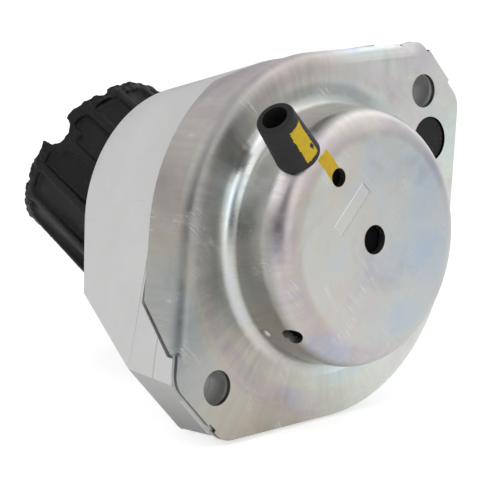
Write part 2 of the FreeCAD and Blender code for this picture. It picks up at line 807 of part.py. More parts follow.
def vacuum_cup():
    # Moulded cup that lines the pot and holds the vacuum, with a boss for the nipple.
    outer = S.dome_r - S.steel - S.fit_gap
    floor = S.steel - S.dome_depth + S.cup_floor_gap
    wall = outer - S.cup_wall
    rim = clamp_radius()
    body = new_body("cup_shell")
    shell = turned(body, "cup_turned", [
        (ZERO, floor), (outer, floor), (outer, S.steel), (rim, S.steel), (rim, S.steel + S.cup_lip),
        (wall, S.steel + S.cup_lip), (wall, floor + S.cup_wall), (ZERO, floor + S.cup_wall),
    ])
    rounded(body, "cup_shoulder", shell, S.dome_shoulder_r - S.steel, ring_edge(outer, floor))
    boss_back = -nipple_inside()
    boss = place_on_nipple(cylinder("cup_boss", S.nipple_r + S.cup_wall, S.cup_wall * 3), boss_back)
    inner_space = doc.addObject("Part::Cylinder", "cup_space")
    bind(inner_space, "Radius", outer - S.cup_wall / 2)
    bind(inner_space, "Height", S.dome_depth)
    place(inner_space, ZERO, ZERO, floor + S.cup_wall / 2)
    trimmed = common("cup_boss_trimmed", boss, inner_space)
    bossed = join("cup_bossed", body, trimmed)
    tube_hole = place_on_nipple(cylinder("cup_tube_hole", S.nipple_r, S.nipple_length), boss_back)
    return subtract("vacuum_cup", bossed, tube_hole)


def rolling_diaphragm():
    # Thin rubber wall with a clamped bead, one deep fold and a thick valve pad.
    base = S.steel + S.cup_lip
    top = base + S.bead
    rim = clamp_radius()
    fold_out = S.dome_r - S.steel - S.cup_wall - S.fit_gap * 4
    fold_low = base - S.bead * 2
    web_top = base + S.diaphragm
    pad_low = base - S.bead / 4
    body = new_body("rolling_diaphragm")
    turned(body, "diaphragm_turned", [
        (ZERO, pad_low), (S.valve_pad_r, pad_low), (S.valve_pad_r + S.bead, fold_low),
        (fold_out - S.diaphragm, fold_low), (fold_out, fold_low + S.diaphragm), (fold_out, base),
        (rim, base), (rim, top), (rim - S.bead, top), (rim - S.bead, web_top),
        (fold_out - S.diaphragm, web_top), (fold_out - S.diaphragm * 2, fold_low + S.diaphragm),
        (S.valve_pad_r + S.bead + S.diaphragm / 2, fold_low + S.diaphragm),
        (S.valve_pad_r, top - S.diaphragm), (ZERO, top - S.diaphragm),
    ])
    return body


def diaphragm_disc():
    # Steel disc bonded under the valve pad.
    low = S.steel + S.cup_lip - S.bead / 4 - S.disc_thickness
    body = new_body("diaphragm_disc")
    face = new_sketch(body, "disc_circle", height=low)
    circle(face, ZERO, ZERO, S.disc_r)
    pad(body, "disc_solid", face, S.disc_thickness)
    return body


def valve_spring():
    # Steel coil between the cup's floor and the disc: it closes the valve when the vacuum is off.
    low = S.steel - S.dome_depth + S.cup_floor_gap + S.cup_wall + S.coil_wire_r
    high = S.steel + S.cup_lip - S.bead / 4 - S.disc_thickness - S.coil_wire_r
    path = doc.addObject("Part::Helix", "coil_path")
    bind(path, "Radius", S.coil_r)
    bind(path, "Height", high - low)
    bind(path, "Pitch", (high - low) / S.coil_turns)
    place(path, ZERO, ZERO, low)
    wire = doc.addObject("Part::Circle", "coil_wire")
    bind(wire, "Radius", S.coil_wire_r)
    place(wire, S.coil_r, ZERO, low, about(X_AXIS, 90))
    coil = doc.addObject("Part::Sweep", "valve_spring")
    coil.Label = "valve_spring"
    coil.Sections = [wire]
    coil.Spine = (path, [])
    coil.Solid = True
    coil.Frenet = True
    doc.recompute()
    return coil


def lower_channel_plate():
    # Plate with the valve seat below, an inertia channel on top and the decoupler's pocket.
    rim_low = S.steel + S.cup_lip + S.bead
    seat_low = rim_low - S.diaphragm
    seat_out = S.valve_seat_r + S.cup_wall
    pocket = S.lower_plate_top - S.decoupler_thickness / 2 - S.decoupler_play
    pocket_r = S.decoupler_r + S.decoupler_play
    body = new_body("lower_channel_plate")
    turned(body, "lower_plate_turned", [
        (S.valve_seat_r, seat_low), (seat_out, seat_low), (seat_out, rim_low),
        (clamp_radius(), rim_low), (clamp_radius(), S.clamp_top), (S.stack_r, S.clamp_top),
        (S.stack_r, S.lower_plate_top), (S.channel_out_r, S.lower_plate_top),
        (S.channel_out_r, S.lower_plate_top - S.channel_depth),
        (S.channel_in_r, S.lower_plate_top - S.channel_depth), (S.channel_in_r, S.lower_plate_top),
        (pocket_r, S.lower_plate_top), (pocket_r, pocket), (S.valve_seat_r, pocket),
    ])
    port = new_sketch(body, "lower_port_circle", height=rim_low)
    middle_r = (S.channel_in_r + S.channel_out_r) / 2
    circle(port, middle_r, ZERO, (S.channel_out_r - S.channel_in_r) / 3)
    cut_away(body, "lower_port", port, S.lower_plate_top)
    return body


def upper_channel_plate():
    # Lid of the channel with a ring of windows over the decoupler and a groove for the seal.
    pocket_r = S.decoupler_r + S.decoupler_play
    pocket = S.lower_plate_top + S.decoupler_thickness / 2 + S.decoupler_play
    groove_r = S.stack_r + S.bore_gap - S.seal_section_r * 2
    groove_z = S.upper_plate_top - S.seal_section_r * 2
    body = new_body("upper_channel_plate")
    turned(body, "upper_plate_turned", [
        (ZERO, pocket), (pocket_r, pocket), (pocket_r, S.lower_plate_top),
        (S.stack_r, S.lower_plate_top), (S.stack_r, groove_z), (groove_r, groove_z),
        (groove_r, S.upper_plate_top), (ZERO, S.upper_plate_top),
    ])
    port = new_sketch(body, "upper_port_circle", height=S.lower_plate_top)
    middle_r = (S.channel_in_r + S.channel_out_r) / 2
    circle(port, -middle_r, ZERO, (S.channel_out_r - S.channel_in_r) / 3)
    cut_away(body, "upper_port", port, S.upper_plate_top)
    window = new_sketch(body, "upper_window_circle", height=S.lower_plate_top)
    circle(window, S.plate_window_pitch_r, ZERO, S.plate_window_r)
    first = cut_away(body, "upper_window", window, S.upper_plate_top)
    ring_of_cuts(body, "upper_windows", window, first, S.plate_windows)
    return body


def decoupler_disc():
    # Loose rubber disc between the two plates.
    body = new_body("decoupler_disc")
    face = new_sketch(body, "decoupler_circle", height=S.lower_plate_top - S.decoupler_thickness / 2)
    circle(face, ZERO, ZERO, S.decoupler_r)
    disc = pad(body, "decoupler_solid", face, S.decoupler_thickness)
    rounded(body, "decoupler_edge", disc, S.decoupler_thickness / 3,
            lambda e: isinstance(e.Curve, Part.Circle))
    return body


def plate_seal():
    # Round seal in the upper plate's groove.
    ring = doc.addObject("Part::Torus", "plate_seal")
    ring.Label = "plate_seal"
    bind(ring, "Radius1", S.stack_r + S.bore_gap - S.seal_section_r)
    bind(ring, "Radius2", S.seal_section_r)
    return place(ring, ZERO, ZERO, S.upper_plate_top - S.seal_section_r)


def outer_ring():
    # Steel ring vulcanised round the main spring, with a lip under the housing's shoulder.
    inner = S.stack_r - S.ring_wall
    body = new_body("outer_ring")
    turned(body, "outer_ring_turned", [
        (inner, S.upper_plate_top), (S.stack_r, S.upper_plate_top), (S.stack_r, S.shoulder_z),
        (inner - S.ring_lip, S.shoulder_z), (inner - S.ring_lip, S.shoulder_z - S.ring_wall),
        (inner, S.shoulder_z - S.ring_wall),
    ])
    return body


def main_spring():
    # Conical rubber spring between the outer ring and the core.
    ring_r = S.stack_r - S.ring_wall
    lip_r = ring_r - S.ring_lip
    body = new_body("main_spring")
    turned(body, "main_spring_turned", [
        (S.core_foot_r, S.core_foot_z), (S.spring_foot_r, S.upper_plate_top),
        (ring_r, S.upper_plate_top), (ring_r, S.shoulder_z - S.ring_wall),
        (lip_r, S.shoulder_z - S.ring_wall), (lip_r, S.shoulder_z),
        (S.spring_crown_r, S.spring_crown_z), (S.core_neck_r, S.core_neck_z),
    ])
    return body


def core():
    # Core: a cone bonded into the spring, an elbow and the inclined seat for the engine bracket.
    # Gives the finished core and the plain one that the buffer is moulded round.
    cone = new_body("core_cone")
    turned(cone, "core_cone_turned", [
        (ZERO, S.core_foot_z), (S.core_foot_r, S.core_foot_z),
        (S.core_neck_r, S.core_neck_z), (S.core_neck_r, S.cross_z), (ZERO, S.cross_z),
    ])
    elbow = doc.addObject("Part::Sphere", "core_elbow")
    bind(elbow, "Radius", S.core_neck_r)
    place(elbow, ZERO, ZERO, S.cross_z)
    seat_along = S.buffer_reach - S.seat_sink
    neck = place_on_lean(cylinder("core_neck", S.core_neck_r, seat_along), ZERO)
    bent = join("core_bent", join("core_elbowed", cone, elbow), neck)
    thread = new_body("core_thread")
    turned(thread, "core_thread_turned", [
        (ZERO, ZERO), (S.stud_hole_r, ZERO), (S.stud_hole_r, S.stud_hole_depth - S.stud_chamfer),
        (S.stud_hole_r + S.stud_chamfer, S.stud_hole_depth),
        (S.stud_hole_r + S.stud_chamfer, S.stud_hole_depth + 1), (ZERO, S.stud_hole_depth + 1),
    ])
    place_on_lean(thread, seat_along - S.stud_hole_depth)
    threaded = subtract("core_threaded", bent, thread)
    pin_hole = place_on_lean(cylinder("core_pin_hole", S.pin_shank_r, S.pin_depth + 1),
                             seat_along - S.pin_depth, S.pin_offset)
    return subtract("core", threaded, pin_hole), bent


def locating_pin():
    # Steel pin in the seat that keeps the engine bracket from turning: a thicker pressed shank.
    body = new_body("locating_pin")
    end = S.pin_depth + S.pin_rise
    turned(body, "pin_turned", [
        (ZERO, ZERO), (S.pin_shank_r, ZERO), (S.pin_shank_r, S.pin_depth),
        (S.pin_r, S.pin_depth), (S.pin_r, end - S.stud_chamfer),
        (S.pin_r - S.stud_chamfer, end), (ZERO, end),
    ])
    return place_on_lean(body, S.buffer_reach - S.seat_sink - S.pin_depth, S.pin_offset)


def stop_washer():
    # Steel washer pressed on the neck, at the bottom of the recess in the stop buffer's end.
    body = new_body("stop_washer")
    turned(body, "washer_turned", [
        (S.core_neck_r, ZERO), (S.washer_out_r, ZERO),
        (S.washer_out_r, S.washer_thickness), (S.core_neck_r, S.washer_thickness),
    ])
    return place_on_lean(body, S.buffer_reach - S.washer_sink - S.washer_thickness)


def spun(x, y, angle):
    # Corner of an outline turned about the origin.
    return x * cosine_of(angle) - y * sine_of(angle), x * sine_of(angle) + y * cosine_of(angle)


def stop_buffer(plain_core):
    # Moulded rubber buffer round the inclined neck: a flared wall of recessed panels between ribs,
    # a raised rim round the washer with small nicks and one deep notch with a round floor.
    body = new_body("buffer_moulding")
    recess = S.buffer_length - S.washer_sink - S.washer_thickness
    block = turned(body, "buffer_turned", [
        (ZERO, ZERO), (S.buffer_r + S.buffer_flare, ZERO), (S.buffer_r, S.buffer_length),
        (S.washer_out_r, S.buffer_length), (S.washer_out_r, recess), (ZERO, recess),
    ])
    rounded(body, "buffer_edge", block, S.buffer_edge_r, ring_edge(S.buffer_r, S.buffer_length))
    half_pitch = 180 / S.panels
    floor_r = S.buffer_r - S.panel_depth
    clear_r = S.buffer_r + S.buffer_flare + S.panel_depth
    panel_half = floor_r * tangent_of(half_pitch) - S.rib_width / 2
    panel = new_sketch(body, "buffer_panel")
    polygon(panel, [spun(x, y, half_pitch) for x, y in (
        (floor_r, -panel_half), (clear_r, -panel_half), (clear_r, panel_half), (floor_r, panel_half))])
    first = cut_away(body, "buffer_panel_cut", panel, S.buffer_length - S.panel_top)
    ring_of_cuts(body, "buffer_panels", panel, first, S.panels)
    nick = new_sketch(body, "buffer_nick", height=S.buffer_length - S.nick_depth)
    polygon(nick, [
        (S.nick_floor_r, -S.nick_half), (clear_r, -S.nick_half),
        (clear_r, S.nick_half), (S.nick_floor_r, S.nick_half),
    ])
    nicked = cut_away(body, "buffer_nick_cut", nick, S.nick_depth + 1)
    ring_of_cuts(body, "buffer_nicks", nick, nicked, S.nicks)
    place_on_lean(body, S.buffer_reach - S.buffer_length, spin=S.notch_spin)
    bonded = subtract("buffer_bonded", body, plain_core)

    # The notch starts inside the recess and goes out through the raised rim.
    notch = new_body("notch_cutter")
    opening = new_sketch(notch, "notch_opening", "YZ_Plane", S.notch_inner_r)
    bottom = S.buffer_length - S.notch_depth + S.notch_half
    circle(opening, ZERO, bottom, S.notch_half)
    pad(notch, "notch_floor", opening, S.buffer_r)
    walls = new_sketch(notch, "notch_walls", "YZ_Plane", S.notch_inner_r)
    polygon(walls, [
        (-S.notch_half, bottom), (S.notch_half, bottom),
        (S.notch_half, S.buffer_length + 1), (-S.notch_half, S.buffer_length + 1),
    ])
    pad(notch, "notch_reach", walls, S.buffer_r)
    place_on_lean(notch, S.buffer_reach - S.buffer_length, spin=S.notch_spin)
    notched = subtract("buffer_notched", bonded, notch)
    clear = cylinder("buffer_clearance", S.flange_r, S.buffer_clear_z)
    return subtract("stop_buffer", notched, clear)


def build():
    finished_core, plain_core = core()
    return [
        lower_pot(), vacuum_nipple(), connector_sleeve(), housing(), window_plug(), vacuum_cup(),
        rolling_diaphragm(), diaphragm_disc(), valve_spring(), lower_channel_plate(),
        upper_channel_plate(), decoupler_disc(), plate_seal(), outer_ring(), main_spring(),
        finished_core, locating_pin(), stop_washer(), stop_buffer(plain_core),
    ]


def check_and_write(pieces):
    doc.recompute()
    for item in doc.Objects:
        if "Invalid" in item.State or "Error" in item.State:
            raise RuntimeError(f"{item.Name} failed: {item.State}")
    for piece in pieces:
        shape = piece.Shape
        if shape.isNull() or not shape.isValid() or not shape.Solids:
            raise RuntimeError(f"{piece.Label} has no valid solid")
    os.makedirs("parts", exist_ok=True)
    for piece in pieces:
        piece.Shape.exportStep(f"parts/{piece.Label}.step")
        print(piece.Label, len(piece.Shape.Solids), "solids", round(piece.Shape.Volume), "mm3")


check_and_write(build())
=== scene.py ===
import math

import bmesh
import bpy
from bpy.props import FloatProperty, FloatVectorProperty, IntProperty, PointerProperty
from mathutils import Matrix, Vector


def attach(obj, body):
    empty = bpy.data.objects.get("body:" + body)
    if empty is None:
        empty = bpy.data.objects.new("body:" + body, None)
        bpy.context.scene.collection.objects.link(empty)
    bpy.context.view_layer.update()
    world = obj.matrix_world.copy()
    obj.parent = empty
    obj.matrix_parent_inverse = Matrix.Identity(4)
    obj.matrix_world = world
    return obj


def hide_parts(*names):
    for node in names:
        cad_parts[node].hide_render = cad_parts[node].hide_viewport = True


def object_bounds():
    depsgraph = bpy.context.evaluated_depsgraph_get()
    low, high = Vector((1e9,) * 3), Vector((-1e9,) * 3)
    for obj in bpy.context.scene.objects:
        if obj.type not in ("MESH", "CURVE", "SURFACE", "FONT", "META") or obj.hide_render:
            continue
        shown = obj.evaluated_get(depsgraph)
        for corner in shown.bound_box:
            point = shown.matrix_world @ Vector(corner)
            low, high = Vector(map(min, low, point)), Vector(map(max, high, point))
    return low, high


bl_info = {
    "name": "Hydraulic Engine Mount",
    "version": (1, 0, 0),
    "blender": (4, 5, 0),
    "location": "3D View > Sidebar > Mount",
    "description": "Finishes the pieces of a hydraulic engine mount and sets its studio",
    "category": "Object",
}

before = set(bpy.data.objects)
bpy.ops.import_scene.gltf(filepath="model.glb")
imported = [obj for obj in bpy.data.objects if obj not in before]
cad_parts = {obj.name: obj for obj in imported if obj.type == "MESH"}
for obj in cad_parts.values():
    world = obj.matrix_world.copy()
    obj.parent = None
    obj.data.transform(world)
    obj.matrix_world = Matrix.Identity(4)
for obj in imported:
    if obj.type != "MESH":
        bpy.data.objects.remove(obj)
CAD_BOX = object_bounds()

# The camera's place and its right and up directions, in the mount's own frame, in metres.
EYE = Vector((-0.2682, -0.3592, -0.4450))
RIGHT = Vector((0.5336, 0.5108, -0.6740)).normalized()
UP = Vector((0.7451, -0.6609, 0.0890)).normalized()
BACK = RIGHT.cross(UP).normalized()
MM = 0.001

# Sizes of the solids that the dressing follows, in millimetres from the mount's axis or seat.
BOLT_HALF_PITCH = 63.0
STEEL = 2.5
SKIRT_R = 57.5
BEND_R = 5.5
EAR_END = 73.2
EAR_HALF = 13.0
EAR_TOP = 19.0
CASTING_R = 54.6
CASTING_WEB_HALF = 17.5

# The leaning axis of the neck: where it leaves the mount's own axis, and its direction.
LEAN_START = Vector((0.0, 0.0, 82.5 * MM))
LEAN_ANGLE = math.radians(36.0)
LEAN_TURN = math.radians(-62.0)
LEAN = Vector((
    math.sin(LEAN_ANGLE) * math.cos(LEAN_TURN),
    math.sin(LEAN_ANGLE) * math.sin(LEAN_TURN),
    math.cos(LEAN_ANGLE),
))
LEAN_HINGE = Vector((-math.sin(LEAN_TURN), math.cos(LEAN_TURN), 0.0))

# Edges that turn by more than this stay hard until they are rounded.
HARD_EDGE = math.radians(34.0)

WHITE = (1.0, 1.0, 1.0, 1.0)

# Brightness of the surroundings in a gloss, from the camera's left to its right.
GLOSS_PANELS = (
    (0.0, 0.34), (0.17, 0.33), (0.33, 0.08), (0.48, 0.08),
    (0.58, 0.42), (0.70, 1.10), (0.84, 0.62), (1.0, 0.49),
)

# Film on the plating: its phase, and how it changes red, green and blue.
FILM_TONES = (
    (0.0, (0.86, 0.96, 1.06)), (0.28, (0.96, 1.0, 1.02)), (0.44, (1.03, 1.01, 0.93)),
    (0.60, (1.03, 0.96, 0.92)), (0.76, (0.97, 0.87, 0.91)), (0.92, (0.76, 0.79, 1.00)),
)

# Places on the pot drawn lighter or darker, and how each changes red, green and blue. The foot ring
# and the skirt's bend get painted highlights; the dome's shoulder gets painted shade.
PLATING_TONES = (
    ("dim rim side", (0.76, 0.73, 0.69)), ("bright rim side", (1.16, 1.15, 1.12)),
    ("face", (0.92, 0.93, 0.94)), ("foot", (1.34, 1.42, 1.48)),
    ("dim_flange", (0.68, 0.72, 0.74)), ("shoulder", (0.86, 0.83, 0.79)),
    ("far rim", (1.10, 1.15, 1.09)), ("low rim", (0.84, 0.81, 0.76)),
    ("skirt top highlight", (1.45, 1.50, 1.62)), ("low end", (1.02, 1.00, 0.97)),
    ("lanes", (1.04, 0.93, 0.86)), ("blue", (0.86, 0.93, 1.04)), ("cool face", (0.93, 0.95, 1.01)),
)


def hue(name, text, colour):
    return FloatVectorProperty(
        name=name, description=text, subtype="COLOR", size=3, min=0.0, max=1.0, default=colour
    )


def share(name, text, value):
    return FloatProperty(
        name=name, description=text, subtype="FACTOR", min=0.0, max=1.0, default=value
    )


class MountFinish(bpy.types.PropertyGroup):
    zinc: hue("Zinc", "Colour of the zinc plated pot", (0.685, 0.695, 0.695))
    zinc_roughness: share("Zinc roughness", "How blurred the plated steel reflects", 0.28)
    aluminium: hue("Aluminium", "Colour of the die-cast housing", (0.80, 0.80, 0.795))
    aluminium_roughness: share("Aluminium roughness", "How matte the casting is", 0.62)
    rubber: hue("Rubber", "Colour of the moulded rubber", (0.0045, 0.0045, 0.005))
    paint: hue("Paint mark", "Colour of the marks on the sleeve and the dome", (0.95, 0.60, 0.016))
    soften: FloatProperty(
        name="Edge softness", description="Width of the rounding on hard edges", unit="LENGTH",
        min=0.0, max=0.002, default=0.00035, precision=5,
    )
    flash: FloatProperty(
        name="Flash", description="Depth of the ragged edge on the buffer's rim", unit="LENGTH",
        min=0.0, max=0.004, default=0.0018, precision=5,
    )
    soften_steps: IntProperty(
        name="Edge steps", description="Faces across a rounded edge", min=1, max=4, default=2
    )


class StudioSettings(bpy.types.PropertyGroup):
    lens: FloatProperty(
        name="Lens", description="Focal length on a 36 mm sensor", subtype="DISTANCE_CAMERA",
        min=10.0, max=500.0, default=149.85,
    )
    pitch: FloatProperty(
        name="Camera pitch", description="How far the camera looks down on the floor",
        subtype="ANGLE", default=math.radians(12.0),
    )
    floor_tone: share("Floor tone", "Brightness of the floor's own colour", 0.86)
    key_power: FloatProperty(
        name="Key light", description="Power of the large lamp above", default=3.5
    )
    side_power: FloatProperty(
        name="Side light", description="Power of the weaker lamps", default=0.9
    )
    lamp_size: FloatProperty(
        name="Lamp size", description="Edge length of the lamps", unit="LENGTH",
        min=0.1, max=3.0, default=1.2,
    )
    ambient: FloatProperty(name="Ambient", description="Light from all round", default=0.50)


class Board:
    # Node tree with short calls for adding nodes and wires.
    def __init__(self, tree):
        self.tree = tree

    def add(self, kind, inputs=None, **settings):
        node = self.tree.nodes.new(kind)
        for name, value in settings.items():
            setattr(node, name, value)
        for name, value in (inputs or {}).items():
            self.feed(node.inputs[name], value)
        return node

    def feed(self, socket, value):
        if isinstance(value, bpy.types.NodeSocket):
            self.tree.links.new(value, socket)
        else:
            socket.default_value = value

    def maths(self, operation, first, second=0.0):
        return self.add("ShaderNodeMath", {0: first, 1: second}, operation=operation).outputs[0]

    def blend(self, factor, first, second, mode="MIX"):
        pair = {0: factor, 6: first, 7: second}
        return self.add("ShaderNodeMix", pair, data_type="RGBA", blend_type=mode).outputs[2]

    def choose(self, factor, first, second):
        return self.add("ShaderNodeMixShader", {0: factor, 1: first, 2: second}).outputs[0]

    def spread(self, value, low, high, to_low=0.0, to_high=1.0, smooth=True):
        node = self.add("ShaderNodeMapRange", {
            "Value": value, "From Min": low, "From Max": high, "To Min": to_low, "To Max": to_high,
        }, interpolation_type="SMOOTHSTEP" if smooth else "LINEAR")
        return node.outputs["Result"]

    def product(self, first, *others):
        for value in others:
            first = self.maths("MULTIPLY", first, value)
        return first

    def axes(self, vector):
        parts = self.add("ShaderNodeSeparateXYZ", {"Vector": vector}).outputs
        return parts["X"], parts["Y"], parts["Z"]

    def along(self, vector, direction):
        ends = {0: vector, 1: tuple(direction)}
        return self.add("ShaderNodeVectorMath", ends, operation="DOT_PRODUCT").outputs["Value"]

    def fade(self, value, empty, full):
        # Rises from zero to one between two lengths in millimetres.
        return self.spread(value, empty * MM, full * MM)

    def band(self, value, low, high, soft):
        # One between two lengths in millimetres, fading over a soft width beyond them.
        return self.product(self.fade(value, low - soft, low), self.fade(value, high + soft, high))

    def ramp(self, factor, stops):
        node = self.add("ShaderNodeValToRGB")
        bar = node.color_ramp
        bar.elements[0].position, bar.elements[0].color = stops[0]
        bar.elements[1].position, bar.elements[1].color = stops[-1]
        for position, colour in stops[1:-1]:
            bar.elements.new(position).color = colour
        self.feed(node.inputs["Fac"], factor)
        return node.outputs["Color"]

    def noise(self, where, scale, detail=3.0, roughness=0.55, distortion=0.0):
        node = self.add("ShaderNodeTexNoise", {
            "Vector": where, "Scale": scale, "Detail": detail,
            "Roughness": roughness, "Distortion": distortion,
        })
        return node.outputs["Fac"]

    def group(self, tree, **inputs):
        node = self.add("ShaderNodeGroup", node_tree=tree)
        for name, value in inputs.items():
            self.feed(node.inputs[name.replace("_", " ")], value)
        return node.outputs


def socket(tree, name, direction, kind="NodeSocketFloat", default=None):
    made = tree.interface.new_socket(name=name, in_out=direction, socket_type=kind)
    if default is not None:
        made.default_value = default


def start_group(name, inputs, outputs):
    # A shader group with a vector and numbers in, and plain values out.
    tree = bpy.data.node_groups.new(name, "ShaderNodeTree")
    socket(tree, "Where", "INPUT", "NodeSocketVector")
    for label, default in inputs:
        socket(tree, label, "INPUT", default=default)
    for label in outputs:
        socket(tree, label, "OUTPUT")
    board = Board(tree)
    entry = board.add("NodeGroupInput").outputs
    leave = board.add("NodeGroupOutput").inputs
    return tree, board, entry, leave


def existing(name, make):
    # The shader group of that name, made on its first use.
    return bpy.data.node_groups.get(name) or make(name)


def clouds_group():
    # Two sizes of soft cloud, mixed.
    def make(name):
        tree, board, entry, leave = start_group(
            name, [("Scale", 30.0), ("Contrast", 1.0)], ["Mask"]
        )
        broad = board.noise(entry["Where"], entry["Scale"], 2.0, 0.5, 0.6)
        fine = board.noise(entry["Where"], board.product(entry["Scale"], 4.3), 4.0, 0.6, 0.3)
        both = board.maths("ADD", board.product(broad, 0.7), board.product(fine, 0.3))
        pulled = board.product(board.maths("SUBTRACT", both, 0.5), entry["Contrast"])
        mask = board.spread(board.maths("ADD", pulled, 0.5), 0.0, 1.0, smooth=False)
        board.feed(leave["Mask"], mask)
        return tree
    return existing("Soft Clouds", make)


def grain_group():
    # Fine even grain for castings, moulded rubber and plastic.
    def make(name):
        tree, board, entry, leave = start_group(
            name, [("Scale", 900.0), ("Coarse", 0.35)], ["Height"]
        )
        fine = board.noise(entry["Where"], entry["Scale"], 5.0, 0.65)
        coarse = board.noise(entry["Where"], board.product(entry["Scale"], 0.22), 3.0, 0.5)
        kept = board.product(fine, board.maths("SUBTRACT", 1.0, entry["Coarse"]))
        added = board.product(coarse, entry["Coarse"])
        board.feed(leave["Height"], board.maths("ADD", kept, added))
        return tree
    return existing("Fine Grain", make)


def streaks_group():
    # Marks that run outwards from the mount's axis, as the press leaves them.
    def make(name):
        tree, board, entry, leave = start_group(
            name, [("Around", 60.0), ("Along", 20.0)], ["Mask", "Radius"]
        )
        x, y, z = board.axes(entry["Where"])
        radius = board.maths("SQRT", board.maths("ADD", board.product(x, x), board.product(y, y)))
        safe = board.maths("MAXIMUM", radius, 0.5 * MM)
        turn_x = board.product(board.maths("DIVIDE", x, safe), entry["Around"])
        turn_y = board.product(board.maths("DIVIDE", y, safe), entry["Around"])
        run = board.product(board.maths("ADD", radius, z), entry["Along"])
        place = board.add("ShaderNodeCombineXYZ", {"X": turn_x, "Y": turn_y, "Z": run})
        marks = board.noise(place.outputs["Vector"], 1.0, 4.0, 0.62, 0.25)
        board.feed(leave["Mask"], board.spread(marks, 0.3, 0.7))
        board.feed(leave["Radius"], radius)
        return tree
    return existing("Pressing Streaks", make)


def scratches_group():
    # Thin straight scratches in three directions.
    def make(name):
        tree, board, entry, leave = start_group(
            name, [("Scale", 90.0), ("Fineness", 0.04)], ["Mask"]
        )
        total = None
        for angle, stretch in ((0.5, 9.0), (-0.9, 7.0), (1.9, 11.0)):
            turned = board.add("ShaderNodeMapping", {
                "Vector": entry["Where"], "Rotation": (0.3, angle, angle * 1.7),
                "Scale": (stretch, 0.35, 1.0),
            })
            lines = board.noise(turned.outputs["Vector"], entry["Scale"], 2.0, 0.4)
            off = board.maths("ABSOLUTE", board.maths("SUBTRACT", lines, 0.5))
            thin = board.spread(off, 0.0, entry["Fineness"], 1.0, 0.0)
            patches = board.noise(entry["Where"], board.product(entry["Scale"], 0.8))
            one = board.product(thin, board.spread(patches, 0.55, 0.7))
            total = one if total is None else board.maths("MAXIMUM", total, one)
        board.feed(leave["Mask"], total)
        return tree
    return existing("Thin Scratches", make)


def brush_mark_group():
    # A dab of paint on a patch whose centre is the origin of the vector that comes in.
    def make(name):
        tree, board, entry, leave = start_group(
            name, [("Half Width", 0.002), ("Half Length", 0.005), ("Ragged", 0.0008)], ["Mask"]
        )
        x, y, _ = board.axes(entry["Where"])
        across = board.maths("SUBTRACT", entry["Half Width"], board.maths("ABSOLUTE", x))
        along = board.maths("SUBTRACT", entry["Half Length"], board.maths("ABSOLUTE", y))
        inside = board.maths("MINIMUM", across, along)
        rough = board.maths("SUBTRACT", board.noise(entry["Where"], 900.0, 3.0, 0.6), 0.5)
        edge = board.maths("ADD", inside, board.product(rough, entry["Ragged"]))
        board.feed(leave["Mask"], board.fade(edge, -0.12, 0.12))
        return tree
    return existing("Paint Dab", make)


def finish_named(name):
    # A new material with its main shader and the object's own coordinates.
    material = bpy.data.materials.new(name)
    material.use_nodes = True
    board = Board(material.node_tree)
    shader = material.node_tree.nodes["Principled BSDF"]
    where = board.add("ShaderNodeTexCoord").outputs["Object"]
    return material, board, shader, where


def bump(board, height, strength, depth, below=None):
    # Relief of a depth given in millimetres, laid over the relief below it.
    node = board.add("ShaderNodeBump", {
        "Height": height, "Strength": strength, "Distance": depth * MM,
    })
    if below is not None:
        board.feed(node.inputs["Normal"], below)
    return node.outputs["Normal"]


def rgba(colour, gain=1.0):
    # A colour made lighter or darker, but never brighter than white.
    return tuple(min(1.0, part * gain) for part in colour) + (1.0,)


def moved(board, where, centre, turn):
    # Vector measured from a centre and turned about Z.
    shift = board.add("ShaderNodeVectorMath", {0: where, 1: centre}, operation="SUBTRACT")
    node = board.add("ShaderNodeMapping", {
        "Vector": shift.outputs[0], "Rotation": (0.0, 0.0, turn),
    })
    return node.outputs["Vector"]


def facing(board):
    # The three components of the surface's own direction.
    return board.axes(board.add("ShaderNodeNewGeometry").outputs["True Normal"])


def stamped_bar(board, where, centre, turn, half_width, half_length):
    # Shallow bar with soft flanks that a press tool left in the sheet.
    x, y, _ = board.axes(moved(board, where, centre, turn))
    across = board.maths("SUBTRACT", board.maths("ABSOLUTE", x), half_width)
    along = board.maths("SUBTRACT", board.maths("ABSOLUTE", y), half_length)
    return board.fade(board.maths("MAXIMUM", across, along), 0.25, -0.25)


def rainbow_film(board, base, where, radius):
    # Faint blue, straw and violet film of the plating, which follows the bends.
    film = board.group(clouds_group(), Where=where, Scale=21.0, Contrast=2.6)["Mask"]
    bends = board.maths("MAXIMUM", board.band(radius, 34.5, 38.5, 4.0),
                        board.band(radius, 51.0, 56.5, 3.0))
    phase = board.maths("ADD", board.product(film, 0.72), board.product(bends, 0.30))
    return board.ramp(phase, [
        (position, rgba([part * gain for part, gain in zip(base, gains)]))
        for position, gains in FILM_TONES
    ])


